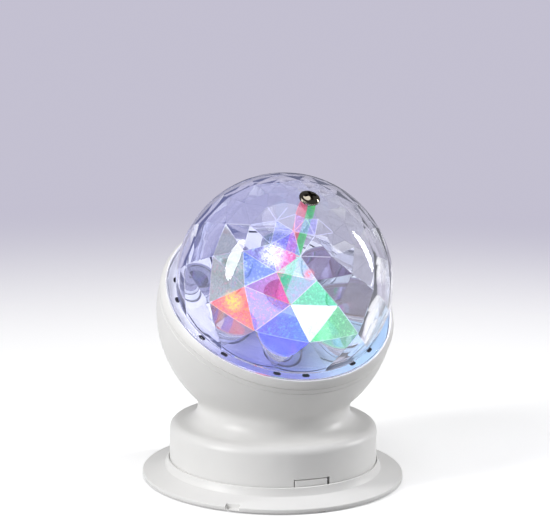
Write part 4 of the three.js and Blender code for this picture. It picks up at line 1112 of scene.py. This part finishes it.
# Carried-over nodes keep their shapes and get their own finish
carried = {
    innerWhite: ["chassis_plate", "gear_case"], cellSleeve: ["cell_1", "cell_2", "cell_3"],
    springNickel: ["contact_negative", "contact_link_1", "contact_link_2", "contact_positive"],
    screwChrome: ["chassis_screw_1", "chassis_screw_2", "chassis_screw_3", "gear_pin_1", "gear_pin_2"],
    boardGreen: ["control_board"], boardWhite: ["led_board"], chipBlack: ["control_chip", "capacitor"],
    gearAcetal: ["reduction_gear_1", "reduction_gear_2", "output_gear"], bushBronze: ["motor_pinion"],
    motorZinc: ["motor"],
}
for material, nodes in carried.items():
    for node in nodes:
        data = frame["nodes"][node].data
        data.materials.clear()
        data.materials.append(material)
print("carried nodes painted")


# Floor, light and camera
view = {
    "eye": (-233.8, -596.6, 201.9), "target": (0, 0, 93), "focalPixels": 1536.8, "sensor": 36.0,
    "picture": (550, 522), "offsetPixels": 1.4, "rollDeg": 1.03,
}
studio = {
    "floorSize": 12.0, "floorWhite": (0.92, 0.92, 0.92), "floorFar": (0.0, 0.0, 0.0), "fade": (0.16, 0.85),
    "nearGlow": (0.24, 0.24, 0.24), "farGlow": (0.55, 0.53, 0.64),
    "floorBounce": (0.42, 0.42, 0.42), "world": (0.9, 0.9, 0.95), "worldStrength": 0.2,
    "behind": (0.55, 0.53, 0.64),
}
# Each lamp: where it stands in metres, its width and height, and the light that it throws on the part
lamps = {
    "key": ((-1.16, -0.18, 0.61), (0.3, 0.9), 0.68),
    "side": ((1.21, -0.13, 0.51), (0.16, 0.7), 0.48),
    "top": ((-0.1, -0.25, 1.3), (0.9, 0.9), 0.4),
}
lampAim = (0, 0, 0.06)


def makeCamera(s):
    data = bpy.data.cameras.new("camera")
    data.sensor_width = s["sensor"]
    data.lens = s["focalPixels"] * s["sensor"] / s["picture"][0]
    data.shift_x = -s["offsetPixels"] / s["picture"][0]
    data.clip_start, data.clip_end = 0.01, 50
    camera = bpy.data.objects.new("camera", data)
    bpy.context.scene.collection.objects.link(camera)
    eye = Vector(s["eye"]) * mm
    ahead = (Vector(s["target"]) * mm - eye).to_track_quat("-Z", "Y").to_matrix().to_4x4()
    camera.matrix_world = Matrix.Translation(eye) @ ahead @ turnAt(s["rollDeg"])
    bpy.context.scene.camera = camera


# At a level of 1, a surface that faces the lamp shows its colour as it is written
def areaLight(name, at, size, level):
    aim = Vector(lampAim)
    data = bpy.data.lights.new(name, "AREA")
    data.shape = "ELLIPSE"
    data.size, data.size_y = size
    data.energy = level * (math.pi * (Vector(at) - aim).length) ** 2
    lamp = bpy.data.objects.new(name, data)
    bpy.context.scene.collection.objects.link(lamp)
    lamp.location = at
    lamp.rotation_euler = (aim - Vector(at)).to_track_quat("-Z", "Y").to_euler()
    lamp.visible_transmission = False


# One for the rays of the named kinds, nothing for the others
def seenBy(owner, *kinds):
    rays = addNode(owner, "LightPath", {})
    share = 0.0
    for kind in kinds:
        share = counted(owner, "ADD", share, rays.outputs[f"Is {kind} Ray"])
    return share


def makeFloor(s):
    letGo()
    bpy.ops.mesh.primitive_plane_add(size=s["floorSize"])
    floor = named(bpy.context.object, "floor")
    material = newMaterial("floorWhite", s["floorWhite"], 0.7, Specular_IOR_Level=0.0)
    fade = stepped(material, apartFrom(material, (0, 0, 0)), *s["fade"])
    color = mixed(material, fade, (*s["floorWhite"], 1), (*s["floorFar"], 1))
    glow = mixed(material, fade, (*s["nearGlow"], 1), (*s["farGlow"], 1))
    shown = seenBy(material, "Camera", "Glossy", "Transmission")
    feed(material, Base_Color=mixed(material, shown, (*s["floorBounce"], 1), color),
         Emission_Color=mixed(material, shown, (0, 0, 0, 1), glow), Emission_Strength=1.0)
    floor.data.materials.append(material)


def makeWorld(s):
    world = bpy.data.worlds.new("studio")
    bpy.context.scene.world = world
    world.use_nodes = True
    nodes = world.node_tree.nodes
    ambient = nodes["Background"]
    setInput(world, ambient, "Color", (*s["world"], 1))
    setInput(world, ambient, "Strength", s["worldStrength"])
    behind = addNode(world, "Background", {"Color": (*s["behind"], 1)})
    inputs = {0: seenBy(world, "Camera", "Transmission"), 1: ambient.outputs[0], 2: behind.outputs[0]}
    setInput(world, nodes["World Output"], "Surface", addNode(world, "MixShader", inputs).outputs[0])


makeCamera(view)
makeFloor(studio)
makeWorld(studio)
for name, lamp in lamps.items():
    areaLight(name, *lamp)
bpy.context.scene.view_settings.view_transform = "Standard"
print("stage, light and camera made")
